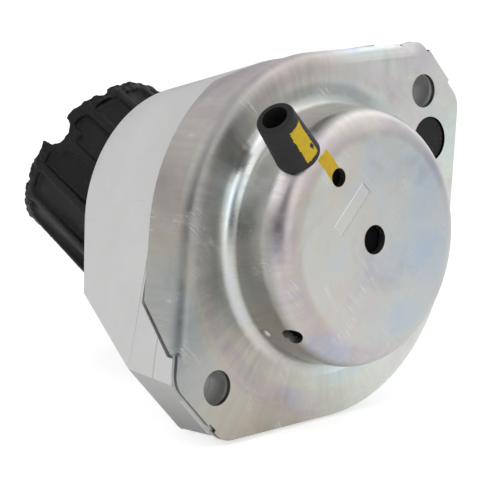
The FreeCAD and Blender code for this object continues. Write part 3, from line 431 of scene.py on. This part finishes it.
def plating_zones(board, where, radius):
    # Masks for places on the pot drawn lighter or darker, some of them painted highlight, painted
    # shade and painted shadow, with lengths in millimetres.
    x, y, z = board.axes(where)
    upright = board.maths("ABSOLUTE", facing(board)[2])
    drift = board.product(board.maths("SUBTRACT", board.noise(where, 26.0, 2.0), 0.5), 0.05)
    across = board.maths("ADD", board.product(x, 0.72), board.product(y, 0.69))
    wander = board.maths("ADD", across, drift)
    near_skirt = board.fade(board.maths("ADD", y, drift), -30.0, -52.0)
    # Rises towards the -X -Y side of the flange and near the skirt. The rim is drawn darker there
    # and lighter on the other side.
    dim_side = board.maths("MAXIMUM", board.fade(wander, 45.0, -45.0), near_skirt)
    cool = board.product(board.fade(wander, -12.0, 34.0), 0.75)
    rim = board.fade(radius, 42.5, 45.5)
    face = board.fade(radius, 37.5, 33.0)
    drawn = board.maths("MAXIMUM", board.band(radius, 44.5, 54.0, 2.0),
                        board.product(board.fade(radius, 55.5, 56.5), 0.45))
    drawn = board.maths("MAXIMUM", drawn, board.product(board.band(radius, 36.0, 41.0, 2.0), 0.6))
    beside_ring = board.product(board.band(radius, 43.0, 46.2, 2.5), board.fade(x, 12.0, 24.0))
    on_left = board.product(board.fade(radius, 44.5, 47.0), board.fade(x, 22.0, 0.0))
    dim_flange = board.maths("MAXIMUM", beside_ring, on_left)
    lane_run = board.add("ShaderNodeMapping", {"Vector": where, "Scale": (22.0, 150.0, 1.0)})
    lanes = board.spread(board.noise(lane_run.outputs["Vector"], 1.0, 3.0, 0.5, 0.4), 0.46, 0.66)
    blue = board.spread(board.noise(where, 60.0, 3.0, 0.5, 0.5), 0.44, 0.62)
    return {
        "cool": cool,
        "drawn": board.product(drawn, board.spread(dim_side, 0.0, 1.0, 0.25, 1.0)),
        "dim rim side": board.product(rim, board.spread(dim_side, 0.0, 1.0, 0.06, 1.0)),
        "bright rim side": board.product(rim, board.spread(dim_side, 0.0, 0.5, 1.0, 0.0)),
        "face": face,
        # Painted highlight: a bright bluish ring at the dome's foot.
        "foot": board.product(board.band(radius, 41.2, 44.6, 1.2), board.fade(x, 16.0, 2.0),
                              board.fade(x, -40.0, -18.0)),
        "dim_flange": board.product(dim_flange, board.fade(y, -4.0, -22.0), board.fade(z, 6.0, 1.5)),
        # Painted shade on one side of the dome's shoulder.
        "shoulder": board.product(board.band(radius, 32.5, 37.2, 2.5),
                                  board.fade(wander, -6.0, -22.0)),
        "far rim": board.product(rim, board.fade(y, 10.0, 22.0), board.fade(x, -50.0, -38.0)),
        "low rim": board.product(rim, board.fade(y, 12.0, 26.0), board.fade(x, -44.0, -56.0)),
        # Painted highlight along the skirt's bend, just above the flange.
        "skirt top highlight": board.product(board.fade(z, 1.0, 4.5), board.fade(x, -34.0, 12.0), rim),
        "low end": board.product(rim, board.fade(x, -36.0, -50.0)),
        "lanes": board.product(lanes, face, board.fade(across, 16.0, -10.0), 0.75),
        "blue": board.product(blue, face, cool),
        "cool face": board.product(face, cool),
        # Painted shadow on the steel's edge next to the casting.
        "shadowed cut edge": board.product(board.spread(upright, 0.30, 0.15),
                                  board.band(z, 0.3, 1.3, 0.3), rim),
        # Painted shade on the sideways-facing dome wall towards -X.
        "low wall shade": board.product(board.spread(upright, 0.7, 0.3), board.fade(radius, 43.0, 41.5),
                                  board.fade(x, -16.0, -34.0)),
        "worn": board.product(board.fade(radius, 44.0, 47.0), board.fade(y, -26.0, -36.0)),
    }


def zinc_steel(finish):
    # Zinc plated pressed sheet: clouded, with a faint rainbow film that follows the bends,
    # marks drawn outwards by the press, a stamped bar, fine scratches, a dab of paint, and painted
    # highlights, painted shade and painted shadow at set places.
    material, board, shader, where = finish_named("Zinc Plated Steel")
    base, roughness = finish.zinc, finish.zinc_roughness
    pressed = board.group(streaks_group(), Where=where, Around=26.0, Along=34.0)
    zones = plating_zones(board, where, pressed["Radius"])
    marked = board.product(pressed["Mask"], zones["drawn"])
    colour = rainbow_film(board, base, where, pressed["Radius"])
    colour = board.blend(zones["cool"], colour, (0.90, 0.965, 1.03, 1.0), "MULTIPLY")
    colour = board.blend(board.product(marked, 0.40), colour, rgba(base, 0.60))
    # Tones by place. The foot ring and the skirt's bend get painted highlights, and the dome's
    # shoulder gets painted shade.
    for name, tone in PLATING_TONES:
        colour = board.blend(zones[name], colour, tone + (1.0,), "MULTIPLY")
    cloud = board.group(clouds_group(), Where=where, Scale=75.0, Contrast=2.2)["Mask"]
    colour = board.blend(board.product(cloud, 0.16), colour, rgba(base, 1.3))
    # Painted shadow: the steel's edge beside the casting made nearly black.
    colour = board.blend(board.product(zones["shadowed cut edge"], 0.9), colour, rgba(base, 0.08))
    # Painted shade darkens the dome's wall towards -X.
    colour = board.blend(zones["low wall shade"], colour, (0.64, 0.65, 0.62, 1.0), "MULTIPLY")
    stain = board.spread(board.noise(where, 48.0, 4.0, 0.6, 0.8), 0.53, 0.74)
    colour = board.blend(board.product(stain, 0.30), colour, rgba(base, 0.55))
    scratched = board.group(scratches_group(), Where=where, Scale=95.0, Fineness=0.022)["Mask"]
    colour = board.blend(board.product(scratched, 0.42), colour, rgba(base, 1.4))
    bar = stamped_bar(board, where, (-0.0002, -0.0141, 0.0), 1.613, 0.0022, 0.0088)
    colour = board.blend(board.product(bar, 0.16), colour, rgba(base, 1.25))
    dab = board.group(brush_mark_group(), Where=moved(board, where, (0.0024, -0.0305, 0.0), -0.05),
                      Half_Width=0.0025, Half_Length=0.0047, Ragged=0.0012)["Mask"]
    shade = board.blend(board.noise(where, 400.0), rgba(finish.paint, 0.70),
                        rgba(finish.paint, 1.15))
    board.feed(shader.inputs["Base Color"], board.blend(dab, colour, shade))
    board.feed(shader.inputs["Metallic"], board.maths("SUBTRACT", 1.0, dab))
    rough = board.spread(cloud, 0.0, 1.0, roughness - 0.06, roughness + 0.08)
    for mask, gain in ((marked, 0.10), (zones["skirt top highlight"], 0.30), (zones["worn"], 0.12)):
        rough = board.maths("ADD", rough, board.product(mask, gain))
    board.feed(shader.inputs["Roughness"], board.maths("MAXIMUM", rough, board.product(dab, 0.55)))
    grain = board.group(grain_group(), Where=where, Scale=650.0, Coarse=0.6)["Height"]
    normal = bump(board, grain, 0.12, 0.3)
    normal = bump(board, board.noise(where, 38.0, 2.0, 0.5, 0.6), 0.30, 1.6, normal)
    for height, strength, depth in ((scratched, 0.25, 0.1), (bar, 0.9, 0.22), (marked, 0.16, 0.2)):
        normal = bump(board, height, strength, depth, normal)
    board.feed(shader.inputs["Normal"], normal)
    return material


def cast_aluminium(name, colour, roughness):
    # Die-cast aluminium: matte, pale, fine grained, faintly clouded, with a parting line
    # round the foot, and painted shade in the two bolt holes and on faces turned towards -X, such
    # as one ear's end.
    material, board, shader, where = finish_named(name)
    cloud = board.group(clouds_group(), Where=where, Scale=34.0, Contrast=1.6)["Mask"]
    tone = board.blend(cloud, rgba(colour, 0.93), rgba(colour, 1.06))
    specks = board.spread(board.noise(where, 1500.0, 2.0), 0.62, 0.75)
    tone = board.blend(board.product(specks, 0.25), tone, rgba(colour, 0.6))
    x, y, z = board.axes(where)
    off_line = board.maths("ABSOLUTE", board.maths("SUBTRACT", z, 9.7 * MM))
    parting = board.product(board.fade(off_line, 0.32, 0.12), 0.5)
    tone = board.blend(parting, tone, rgba(colour, 0.5))
    away = board.maths("SUBTRACT", board.maths("ABSOLUTE", x), BOLT_HALF_PITCH * MM)
    around = board.maths("SQRT", board.maths("ADD", board.product(away, away), board.product(y, y)))
    # Painted shade on the walls of the bolt holes, darkest next to the steel.
    shaded_bore = board.product(board.fade(around, 6.0, 5.8),
                          board.spread(z, 2.0 * MM, 10.5 * MM, 0.80, 0.0))
    tone = board.blend(shaded_bore, tone, rgba(colour, 0.22))
    # Painted shade on faces turned towards -X, such as the end of that ear.
    shaded_ear_end = board.spread(facing(board)[0], -0.80, -0.93)
    shaded_ear_end = board.product(shaded_ear_end, board.spread(y, -20.0 * MM, 12.0 * MM, 0.55, 1.0))
    board.feed(shader.inputs["Base Color"], board.blend(shaded_ear_end, tone, rgba(colour, 0.60)))
    shader.inputs["Metallic"].default_value = 0.35
    satin = board.spread(cloud, 0.0, 1.0, roughness - 0.06, roughness + 0.06)
    board.feed(shader.inputs["Roughness"], satin)
    grain = board.group(grain_group(), Where=where, Scale=1100.0, Coarse=0.4)["Height"]
    wave = bump(board, board.noise(where, 45.0, 2.0), 0.08, 1.5)
    board.feed(shader.inputs["Normal"], bump(board, grain, 0.30, 0.2, wave))
    return material


def plain_steel(name, colour, roughness):
    # Oiled steel that was turned or stamped: lightly clouded and scratched, with a fine grain.
    material, board, shader, where = finish_named(name)
    cloud = board.group(clouds_group(), Where=where, Scale=80.0, Contrast=1.6)["Mask"]
    tone = board.blend(cloud, rgba(colour, 0.85), rgba(colour, 1.1))
    board.feed(shader.inputs["Base Color"], tone)
    shader.inputs["Metallic"].default_value = 1.0
    scratched = board.group(scratches_group(), Where=where, Scale=220.0, Fineness=0.05)["Mask"]
    board.feed(shader.inputs["Roughness"],
               board.spread(scratched, 0.0, 1.0, roughness, roughness + 0.2))
    grain = board.group(grain_group(), Where=where, Scale=1300.0, Coarse=0.3)["Height"]
    board.feed(shader.inputs["Normal"], bump(board, grain, 0.15, 0.1))
    return material


def moulded_rubber(name, colour, roughness, dust=0.25, grain_scale=700.0):
    # Moulded rubber: near black, satin, with dull bloom in patches and a grained skin.
    material, board, shader, where = finish_named(name)
    bloom = board.group(clouds_group(), Where=where, Scale=90.0, Contrast=2.0)["Mask"]
    tone = board.blend(bloom, rgba(colour, 0.8), rgba(colour, 1.5))
    fleck = board.spread(board.noise(where, 1300.0, 2.0), 0.66, 0.74)
    tone = board.blend(board.product(fleck, dust), tone, (0.16, 0.155, 0.15, 1.0))
    board.feed(shader.inputs["Base Color"], tone)
    shader.inputs["Specular IOR Level"].default_value = 0.32
    satin = board.spread(bloom, 0.0, 1.0, roughness - 0.10, roughness + 0.12)
    board.feed(shader.inputs["Roughness"], satin)
    grain = board.group(grain_group(), Where=where, Scale=grain_scale, Coarse=0.5)["Height"]
    board.feed(shader.inputs["Normal"], bump(board, grain, 0.35, 0.3))
    return material


def sleeve_rubber(finish):
    # Matte sleeve with a dab of yellow paint along its lower side, missing at one small nick.
    material, board, shader, where = finish_named("Sleeve Rubber")
    base = tuple(part * 1.9 for part in finish.rubber)
    bloom = board.group(clouds_group(), Where=where, Scale=160.0, Contrast=1.6)["Mask"]
    tone = board.blend(bloom, rgba(base, 0.85), rgba(base, 1.3))
    dab = board.group(brush_mark_group(), Where=moved(board, where, (-0.0020, -0.0458, 0.0), 0.02),
                      Half_Width=0.0026, Half_Length=0.0064, Ragged=0.0014)["Mask"]
    underside = board.fade(board.axes(where)[2], -20.0, -20.6)
    nick = board.group(brush_mark_group(), Where=moved(board, where, (-0.0003, -0.0426, 0.0), 0.5),
                       Half_Width=0.0006, Half_Length=0.0009, Ragged=0.0016)["Mask"]
    dab = board.product(dab, underside, board.maths("SUBTRACT", 1.0, nick))
    shade = board.blend(board.noise(where, 500.0), rgba(finish.paint, 0.7), rgba(finish.paint, 1.2))
    board.feed(shader.inputs["Base Color"], board.blend(dab, tone, shade))
    board.feed(shader.inputs["Roughness"], board.spread(bloom, 0.0, 1.0, 0.5, 0.68))
    grain = board.group(grain_group(), Where=where, Scale=900.0, Coarse=0.4)["Height"]
    board.feed(shader.inputs["Normal"], bump(board, dab, 0.4, 0.12, bump(board, grain, 0.3, 0.2)))
    return material


def moulded_plastic(name, colour, roughness):
    # Dark moulded plastic: matte, faintly clouded and fine grained.
    material, board, shader, where = finish_named(name)
    cloud = board.group(clouds_group(), Where=where, Scale=60.0, Contrast=1.4)["Mask"]
    tone = board.blend(cloud, rgba(colour, 0.85), rgba(colour, 1.2))
    board.feed(shader.inputs["Base Color"], tone)
    shader.inputs["Specular IOR Level"].default_value = 0.12
    satin = board.spread(cloud, 0.0, 1.0, roughness - 0.05, roughness + 0.1)
    board.feed(shader.inputs["Roughness"], satin)
    grain = board.group(grain_group(), Where=where, Scale=1200.0, Coarse=0.3)["Height"]
    board.feed(shader.inputs["Normal"], bump(board, grain, 0.2, 0.1))
    return material


def run_out_rolled_rim(mesh):
    # Lets the rolled rim run out into the flat ear, where the solid steps from one to the other.
    # The bend begins on a line through its start and grows outwards from there.
    start, out = Vector((66.8, -11.2, 0.0)), Vector((0.651, -0.759, 0.0))
    rim_end, ear_side, run_out, highest, widest = 67.65, -8.0, 5.5, 2.2, 4.75
    flat = [face for face in mesh.faces
            if all(abs(corner.co.z) < 0.02 * MM for corner in face.verts)]
    for step in (0.9, 2.1, 3.2, 4.2, 4.9):
        edges = {edge for face in flat for edge in face.edges}
        corners = {corner for face in flat for corner in face.verts}
        cut = bmesh.ops.bisect_plane(
            mesh, geom=flat + list(edges) + list(corners), dist=0.001 * MM,
            plane_co=(start + out * step) * MM, plane_no=out,
        )
        flat = [item for item in cut["geom"] if isinstance(item, bmesh.types.BMFace)]
    for corner in mesh.verts:
        x, y, z = corner.co / MM
        away = (Vector((x, y, 0.0)) - start).dot(out)
        if x < rim_end or y > ear_side or z > STEEL + 0.1 or away <= 0.0:
            continue
        left = max(0.0, min(1.0, (EAR_END - x) / run_out)) ** 1.6
        if z < 0.1:
            reach = min(away, BEND_R * 0.98)
            rise = (BEND_R - math.sqrt(BEND_R * BEND_R - reach * reach)) * left
            corner.co.z = min(rise, highest) * MM
        corner.co -= out * max(0.0, away - widest) * left * MM


def add_prism(mesh, outline, depth):
    # A closed solid between an outline of points and the same outline moved by a vector.
    near = [mesh.verts.new(point) for point in outline]
    face = mesh.faces.new(near)
    grown = bmesh.ops.extrude_face_region(mesh, geom=[face])["geom"]
    far = [item for item in grown if isinstance(item, bmesh.types.BMVert)]
    bmesh.ops.translate(mesh, verts=far, vec=depth)
    touching = {item for corner in near + far for item in corner.link_faces}
    bmesh.ops.recalc_face_normals(mesh, faces=list(touching))


def ear_flank_line(radius, half, end):
    # Straight side of an outline: where it lies across Y for a place along X.
    square = end * end + half * half
    across = math.sqrt(square - radius * radius)
    normal = Vector((
        (radius * end - across * half) / square, (radius * half + across * end) / square,
    ))
    return lambda x: -(radius + x * normal.x) / normal.y


def fill_ear_flank(mesh):
    # Carries the casting's flank down beside the slanted end of the steel skirt.
    low_line = ear_flank_line(SKIRT_R, EAR_HALF, EAR_END)
    high_line = ear_flank_line(CASTING_R, CASTING_WEB_HALF, EAR_END)
    ear_side, pot_side, strip, sunk, depth = -66.9, -34.0, EAR_TOP - 0.7, 0.4, 3.0
    outline = (
        (ear_side, 4.9), (ear_side, EAR_TOP), (pot_side, EAR_TOP),
        (pot_side, strip), (-55.6, strip),
    )
    points = []
    for x, z in outline:
        share_up = (z - STEEL) / (EAR_TOP - STEEL)
        y = low_line(x) * (1.0 - share_up) + high_line(x) * share_up + sunk
        points.append(Vector((x, y, z)) * MM)
    add_prism(mesh, points, Vector((0.0, depth, 0.0)) * MM)


def raise_notch_floor(mesh):
    # Fills the bottom of the rim's notch with a rounded saddle, as wide as the notch.
    notch_turn, arc_steps = math.radians(-109.0), 12
    half, foot, floor, inner_radius, depth = 5.3, 25.0, 29.4, 24.7, 6.2
    place = Matrix.Translation(LEAN_START) @ Matrix.Rotation(LEAN_ANGLE, 4, LEAN_HINGE)
    place = place @ Matrix.Rotation(notch_turn, 4, "Z")
    outline = [(-half, foot), (half, foot)]
    for step in range(arc_steps + 1):
        angle = math.pi * step / arc_steps
        outline.append((half * math.cos(angle), floor + half * (1.0 - math.sin(angle))))
    points = [place @ (Vector((inner_radius, y, z)) * MM) for y, z in outline]
    add_prism(mesh, points, place.to_3x3() @ (Vector((depth, 0.0, 0.0)) * MM))


def flare_sleeve(mesh):
    # Widens the moulded sleeve towards the dome it is pushed on, and leaves its bore as it is.
    turn, lean = math.radians(2.4), math.radians(9.0)
    bore_limit, tip, length, tip_width, flare = 5.0 * MM, 7.0 * MM, 15.0 * MM, 0.975, 0.15
    middle = sum((corner.co for corner in mesh.verts), Vector()) / len(mesh.verts)
    level = math.cos(lean)
    axis = Vector((math.sin(turn) * level, -math.cos(turn) * level, -math.sin(lean))).normalized()
    for corner in mesh.verts:
        out = (corner.co - middle).dot(axis)
        on_axis = middle + axis * out
        reach = max(0.0, min(1.0, (tip - out) / length))
        radial = corner.co - on_axis
        if radial.length > bore_limit:
            corner.co = on_axis + radial * (tip_width + flare * reach)


def dressed(node, name, material, soften, steps=2, add_detail=None):
    # A merged copy of a CAD node with softened hard edges, which stands for the node.
    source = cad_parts[node]
    mesh = bmesh.new()
    mesh.from_mesh(source.data)
    bmesh.ops.remove_doubles(mesh, verts=mesh.verts, dist=0.002 * MM)
    if add_detail:
        add_detail(mesh)
    bmesh.ops.dissolve_limit(
        mesh, angle_limit=math.radians(0.6), verts=mesh.verts, edges=mesh.edges, delimit={"NORMAL"}
    )
    for face in mesh.faces:
        face.smooth = True
    for edge in mesh.edges:
        edge.smooth = not (edge.is_manifold and edge.calc_face_angle(0.0) > HARD_EDGE)
    data = bpy.data.meshes.new(name)
    mesh.to_mesh(data)
    mesh.free()
    piece = bpy.data.objects.new(name, data)
    bpy.context.scene.collection.objects.link(piece)
    data.materials.append(material)
    if soften > 0.0:
        edge_round = piece.modifiers.new("Softened edges", "BEVEL")
        edge_round.width = soften
        edge_round.segments = steps
        edge_round.limit_method = "ANGLE"
        edge_round.angle_limit = HARD_EDGE
        edge_round.harden_normals = True
        edge_round.use_clamp_overlap = True
    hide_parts(node)
    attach(piece, "root")
    return piece


def roughened(piece, grain, rim_low, rim_high, ragged):
    # Evens out a moulded piece's mesh, softens its edges and leaves its rim ragged with flash.
    least_share, lump_size, mid_level = 0.06, 2.6 * MM, 0.58
    even = piece.modifiers.new("Even skin", "REMESH")
    even.mode = "VOXEL"
    even.voxel_size = grain
    even.use_smooth_shade = True
    soft = piece.modifiers.new("Soft edges", "SMOOTH")
    soft.factor = 0.5
    soft.iterations = 5
    whole = piece.evaluated_get(bpy.context.evaluated_depsgraph_get())
    piece.data = bpy.data.meshes.new_from_object(whole)
    piece.modifiers.clear()
    rim = piece.vertex_groups.new(name="Rim")
    for vertex in piece.data.vertices:
        height = (vertex.co - LEAN_START).dot(LEAN)
        share_of_rim = (height - rim_low) / (rim_high - rim_low)
        rim.add([vertex.index], max(least_share, min(1.0, share_of_rim)), "REPLACE")
    lumps = bpy.data.textures.new("Rubber flash", "CLOUDS")
    lumps.noise_scale = lump_size
    lumps.noise_depth = 2
    flash = piece.modifiers.new("Ragged rim", "DISPLACE")
    flash.texture = lumps
    flash.texture_coords = "LOCAL"
    flash.vertex_group = "Rim"
    flash.mid_level = mid_level
    flash.strength = ragged


class MOUNT_OT_pot(bpy.types.Operator):
    """Finishes the pressed steel pot with its flange, skirt and dome"""
    bl_idname = "mount.pot"
    bl_label = "Steel Pot"

    def execute(self, context):
        finish = context.scene.mount_finish
        dressed("lower_pot", "pot_skin", zinc_steel(finish),
                finish.soften, finish.soften_steps, run_out_rolled_rim)
        return {"FINISHED"}


class MOUNT_OT_housing(bpy.types.Operator):
    """Finishes the die-cast housing and the core"""
    bl_idname = "mount.housing"
    bl_label = "Cast Housing"

    def execute(self, context):
        finish = context.scene.mount_finish
        cast = cast_aluminium("Cast Aluminium", finish.aluminium, finish.aluminium_roughness)
        dressed("housing", "housing_skin", cast,
                finish.soften * 2, finish.soften_steps, fill_ear_flank)
        dressed("core", "core_skin", cast, finish.soften, finish.soften_steps)
        return {"FINISHED"}


class MOUNT_OT_buffer(bpy.types.Operator):
    """Finishes the moulded rubber buffer, the spring and the plug"""
    bl_idname = "mount.buffer"
    bl_label = "Rubber Buffer"

    def execute(self, context):
        finish = context.scene.mount_finish
        rubber = moulded_rubber("Buffer Rubber", finish.rubber, 0.52)
        moulding = dressed("stop_buffer", "buffer_skin", rubber, 0.0,
                           add_detail=raise_notch_floor)
        roughened(moulding, grain=0.6 * MM, rim_low=27.0 * MM, rim_high=32.0 * MM,
                  ragged=finish.flash)
        dressed("main_spring", "spring_skin", rubber, 0.0)
        speckled = moulded_rubber("Plug Rubber", finish.rubber, 0.45, dust=0.9, grain_scale=260.0)
        dressed("window_plug", "plug_skin", speckled, finish.soften)
        return {"FINISHED"}


class MOUNT_OT_sleeve(bpy.types.Operator):
    """Finishes the vacuum sleeve and the nipple in it"""
    bl_idname = "mount.sleeve"
    bl_label = "Vacuum Sleeve"

    def execute(self, context):
        finish = context.scene.mount_finish
        dressed("connector_sleeve", "sleeve_skin", sleeve_rubber(finish),
                finish.soften * 2.2, 3, flare_sleeve)
        steel = plain_steel("Oiled Steel", (0.55, 0.56, 0.57), 0.3)
        for node in ("vacuum_nipple", "stop_washer", "locating_pin",
                     "outer_ring", "diaphragm_disc", "valve_spring"):
            dressed(node, node + "_skin", steel, finish.soften * 0.6)
        return {"FINISHED"}


class MOUNT_OT_inside(bpy.types.Operator):
    """Finishes the pieces sealed inside the pot and the housing"""
    bl_idname = "mount.inside"
    bl_label = "Inner Pieces"

    def execute(self, context):
        finish = context.scene.mount_finish
        membrane = moulded_rubber("Diaphragm Rubber", finish.rubber, 0.6, dust=0.1)
        for node in ("rolling_diaphragm", "decoupler_disc", "plate_seal"):
            dressed(node, node + "_skin", membrane, 0.0)
        plate = cast_aluminium("Plate Aluminium", (0.56, 0.57, 0.58), 0.45)
        for node in ("lower_channel_plate", "upper_channel_plate"):
            dressed(node, node + "_skin", plate, finish.soften * 0.6)
        cup = moulded_plastic("Cup Plastic", (0.002, 0.002, 0.0022), 0.8)
        dressed("vacuum_cup", "vacuum_cup_skin", cup, 0.0)
        return {"FINISHED"}


def floor_finish(name, tone):
    # Pale floor that shows only from its upper side and glows less in a gloss.
    glow_to_camera, glow_in_gloss = 0.60, 0.27
    material = bpy.data.materials.new(name)
    material.use_nodes = True
    board = Board(material.node_tree)
    nodes = material.node_tree.nodes
    nodes.remove(nodes["Principled BSDF"])
    plain = board.add("ShaderNodeBsdfDiffuse", {"Color": (tone, tone, tone, 1.0)}).outputs[0]
    path = board.add("ShaderNodeLightPath").outputs
    mirrored = board.maths("MAXIMUM", path["Is Glossy Ray"], path["Is Transmission Ray"])
    seen = board.maths("MAXIMUM", path["Is Camera Ray"], mirrored)
    strength = board.spread(mirrored, 0.0, 1.0, glow_to_camera, glow_in_gloss)
    glow = board.add("ShaderNodeEmission", {"Color": WHITE, "Strength": strength}).outputs[0]
    lit = board.add("ShaderNodeAddShader", {0: plain, 1: glow}).outputs[0]
    hole = board.add("ShaderNodeBsdfTransparent").outputs[0]
    behind = board.add("ShaderNodeNewGeometry").outputs["Backfacing"]
    shown = board.choose(behind, board.choose(seen, plain, lit), hole)
    board.feed(nodes["Material Output"].inputs["Surface"], shown)
    return material


def flat_floor(name, centre, upwards, material):
    # A square floor that faces a direction and belongs to the studio.
    mesh = bmesh.new()
    bmesh.ops.create_grid(mesh, x_segments=1, y_segments=1, size=3.0)
    turn = upwards.to_track_quat("Z", "Y").to_matrix().to_4x4()
    bmesh.ops.transform(mesh, matrix=Matrix.Translation(centre) @ turn, verts=mesh.verts)
    data = bpy.data.meshes.new(name)
    mesh.to_mesh(data)
    mesh.free()
    floor = bpy.data.objects.new(name, data)
    bpy.context.scene.collection.objects.link(floor)
    data.materials.append(material)
    return floor


def soft_lamp(name, place, target, size, power):
    # A square lamp turned towards a target.
    lamp = bpy.data.lights.new(name, "AREA")
    lamp.shape = "SQUARE"
    lamp.size = size
    lamp.energy = power
    holder = bpy.data.objects.new(name, lamp)
    bpy.context.scene.collection.objects.link(holder)
    holder.location = place
    holder.rotation_euler = (place - target).to_track_quat("Z", "Y").to_euler()


def lowest_along(direction):
    # How far the object reaches against a direction.
    reach = 1e9
    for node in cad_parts.values():
        for vertex in node.data.vertices:
            reach = min(reach, vertex.co.dot(direction))
    return reach


def studio_world(upwards, ambient):
    # White to the camera, even for scattered light, and in panels for a gloss.
    world = bpy.data.worlds.new("Pale Studio")
    bpy.context.scene.world = world
    world.use_nodes = True
    board = Board(world.node_tree)
    nodes = world.node_tree.nodes
    even = nodes["Background"]
    even.inputs["Color"].default_value = WHITE
    even.inputs["Strength"].default_value = ambient
    way = board.add("ShaderNodeTexCoord").outputs["Generated"]
    across = board.spread(board.along(way, RIGHT), -1.0, 1.0, smooth=False)
    panels = board.ramp(across, [
        (position, (tone, tone, tone, 1.0)) for position, tone in GLOSS_PANELS
    ])
    rise = board.spread(board.along(way, upwards), -0.85, 0.75, 0.80, 1.35)
    strength = board.product(panels, rise)
    gloss = board.add("ShaderNodeBackground", {"Color": WHITE, "Strength": strength})
    white = board.add("ShaderNodeBackground", {"Color": WHITE, "Strength": 1.0})
    path = board.add("ShaderNodeLightPath").outputs
    glossy = board.maths("MAXIMUM", path["Is Glossy Ray"], path["Is Transmission Ray"])
    lighting = board.choose(glossy, even.outputs[0], gloss.outputs[0])
    shown = board.choose(path["Is Camera Ray"], lighting, white.outputs[0])
    board.feed(nodes["World Output"].inputs["Surface"], shown)


class MOUNT_OT_studio(bpy.types.Operator):
    """Sets the camera, the floors, the lamps and the pale surroundings"""
    bl_idname = "mount.studio"
    bl_label = "Studio"

    def execute(self, context):
        scene = context.scene
        studio = scene.mount_studio
        scene.view_settings.view_transform = "Standard"
        eye = bpy.data.cameras.new("Studio Camera")
        eye.lens = studio.lens
        eye.sensor_width = 36.0
        eye.clip_start = 0.01
        eye.clip_end = 20.0
        holder = bpy.data.objects.new("Studio Camera", eye)
        scene.collection.objects.link(holder)
        basis = Matrix((RIGHT, UP, BACK)).transposed().to_4x4()
        holder.matrix_world = Matrix.Translation(EYE) @ basis
        scene.camera = holder

        upwards = (UP * math.cos(studio.pitch) + BACK * math.sin(studio.pitch)).normalized()
        floor_look = floor_finish("Pale Floor", studio.floor_tone)
        gap = 0.5 * MM
        under_pose = upwards * (lowest_along(upwards) - gap)
        lying = flat_floor("floor_lying", under_pose, upwards, floor_look)
        lying.visible_shadow = False
        upright = Vector((0.0, 0.0, 1.0))
        standing = flat_floor("floor_standing", upright * (CAD_BOX[0].z - gap), upright, floor_look)
        standing.visible_shadow = False
        standing.visible_diffuse = False
        standing.visible_glossy = False

        middle = Vector((0.0, 0.0, 0.045))
        size, weak = studio.lamp_size, studio.side_power
        for name, way, edge, power in (
            ("Key Lamp", upwards * 0.85 + BACK * 0.45 - RIGHT * 0.45, size, studio.key_power),
            ("Side Lamp", RIGHT * 0.9 + BACK * 0.35 + upwards * 0.55, size, weak),
            ("Top Lamp", Vector((0.2, -0.2, 1.0)), size, weak),
            ("Left Lamp", BACK * 0.45 - RIGHT * 0.95 + upwards * 0.10, size * 0.6, weak * 0.25),
        ):
            soft_lamp(name, middle + way, middle, edge, power)
        studio_world(upwards, studio.ambient)
        return {"FINISHED"}


class MOUNT_PT_panel(bpy.types.Panel):
    """Lists the pieces of the mount and their finishes"""
    bl_idname = "MOUNT_PT_panel"
    bl_label = "Engine Mount"
    bl_space_type = "VIEW_3D"
    bl_region_type = "UI"
    bl_category = "Mount"

    def draw(self, context):
        for group in (context.scene.mount_finish, context.scene.mount_studio):
            box = self.layout.box()
            for name in group.__class__.__annotations__:
                box.prop(group, name)
        for step in STEPS:
            self.layout.operator(step.bl_idname)


STEPS = (
    MOUNT_OT_pot, MOUNT_OT_housing, MOUNT_OT_buffer,
    MOUNT_OT_sleeve, MOUNT_OT_inside, MOUNT_OT_studio,
)
CLASSES = (MountFinish, StudioSettings) + STEPS + (MOUNT_PT_panel,)


def register():
    for item in CLASSES:
        bpy.utils.register_class(item)
    bpy.types.Scene.mount_finish = PointerProperty(type=MountFinish)
    bpy.types.Scene.mount_studio = PointerProperty(type=StudioSettings)


def unregister():
    del bpy.types.Scene.mount_studio
    del bpy.types.Scene.mount_finish
    for item in reversed(CLASSES):
        bpy.utils.unregister_class(item)


def main():
    register()
    for step in STEPS:
        area, name = step.bl_idname.split(".")
        getattr(getattr(bpy.ops, area), name)()


if __name__ == "__main__":
    main()
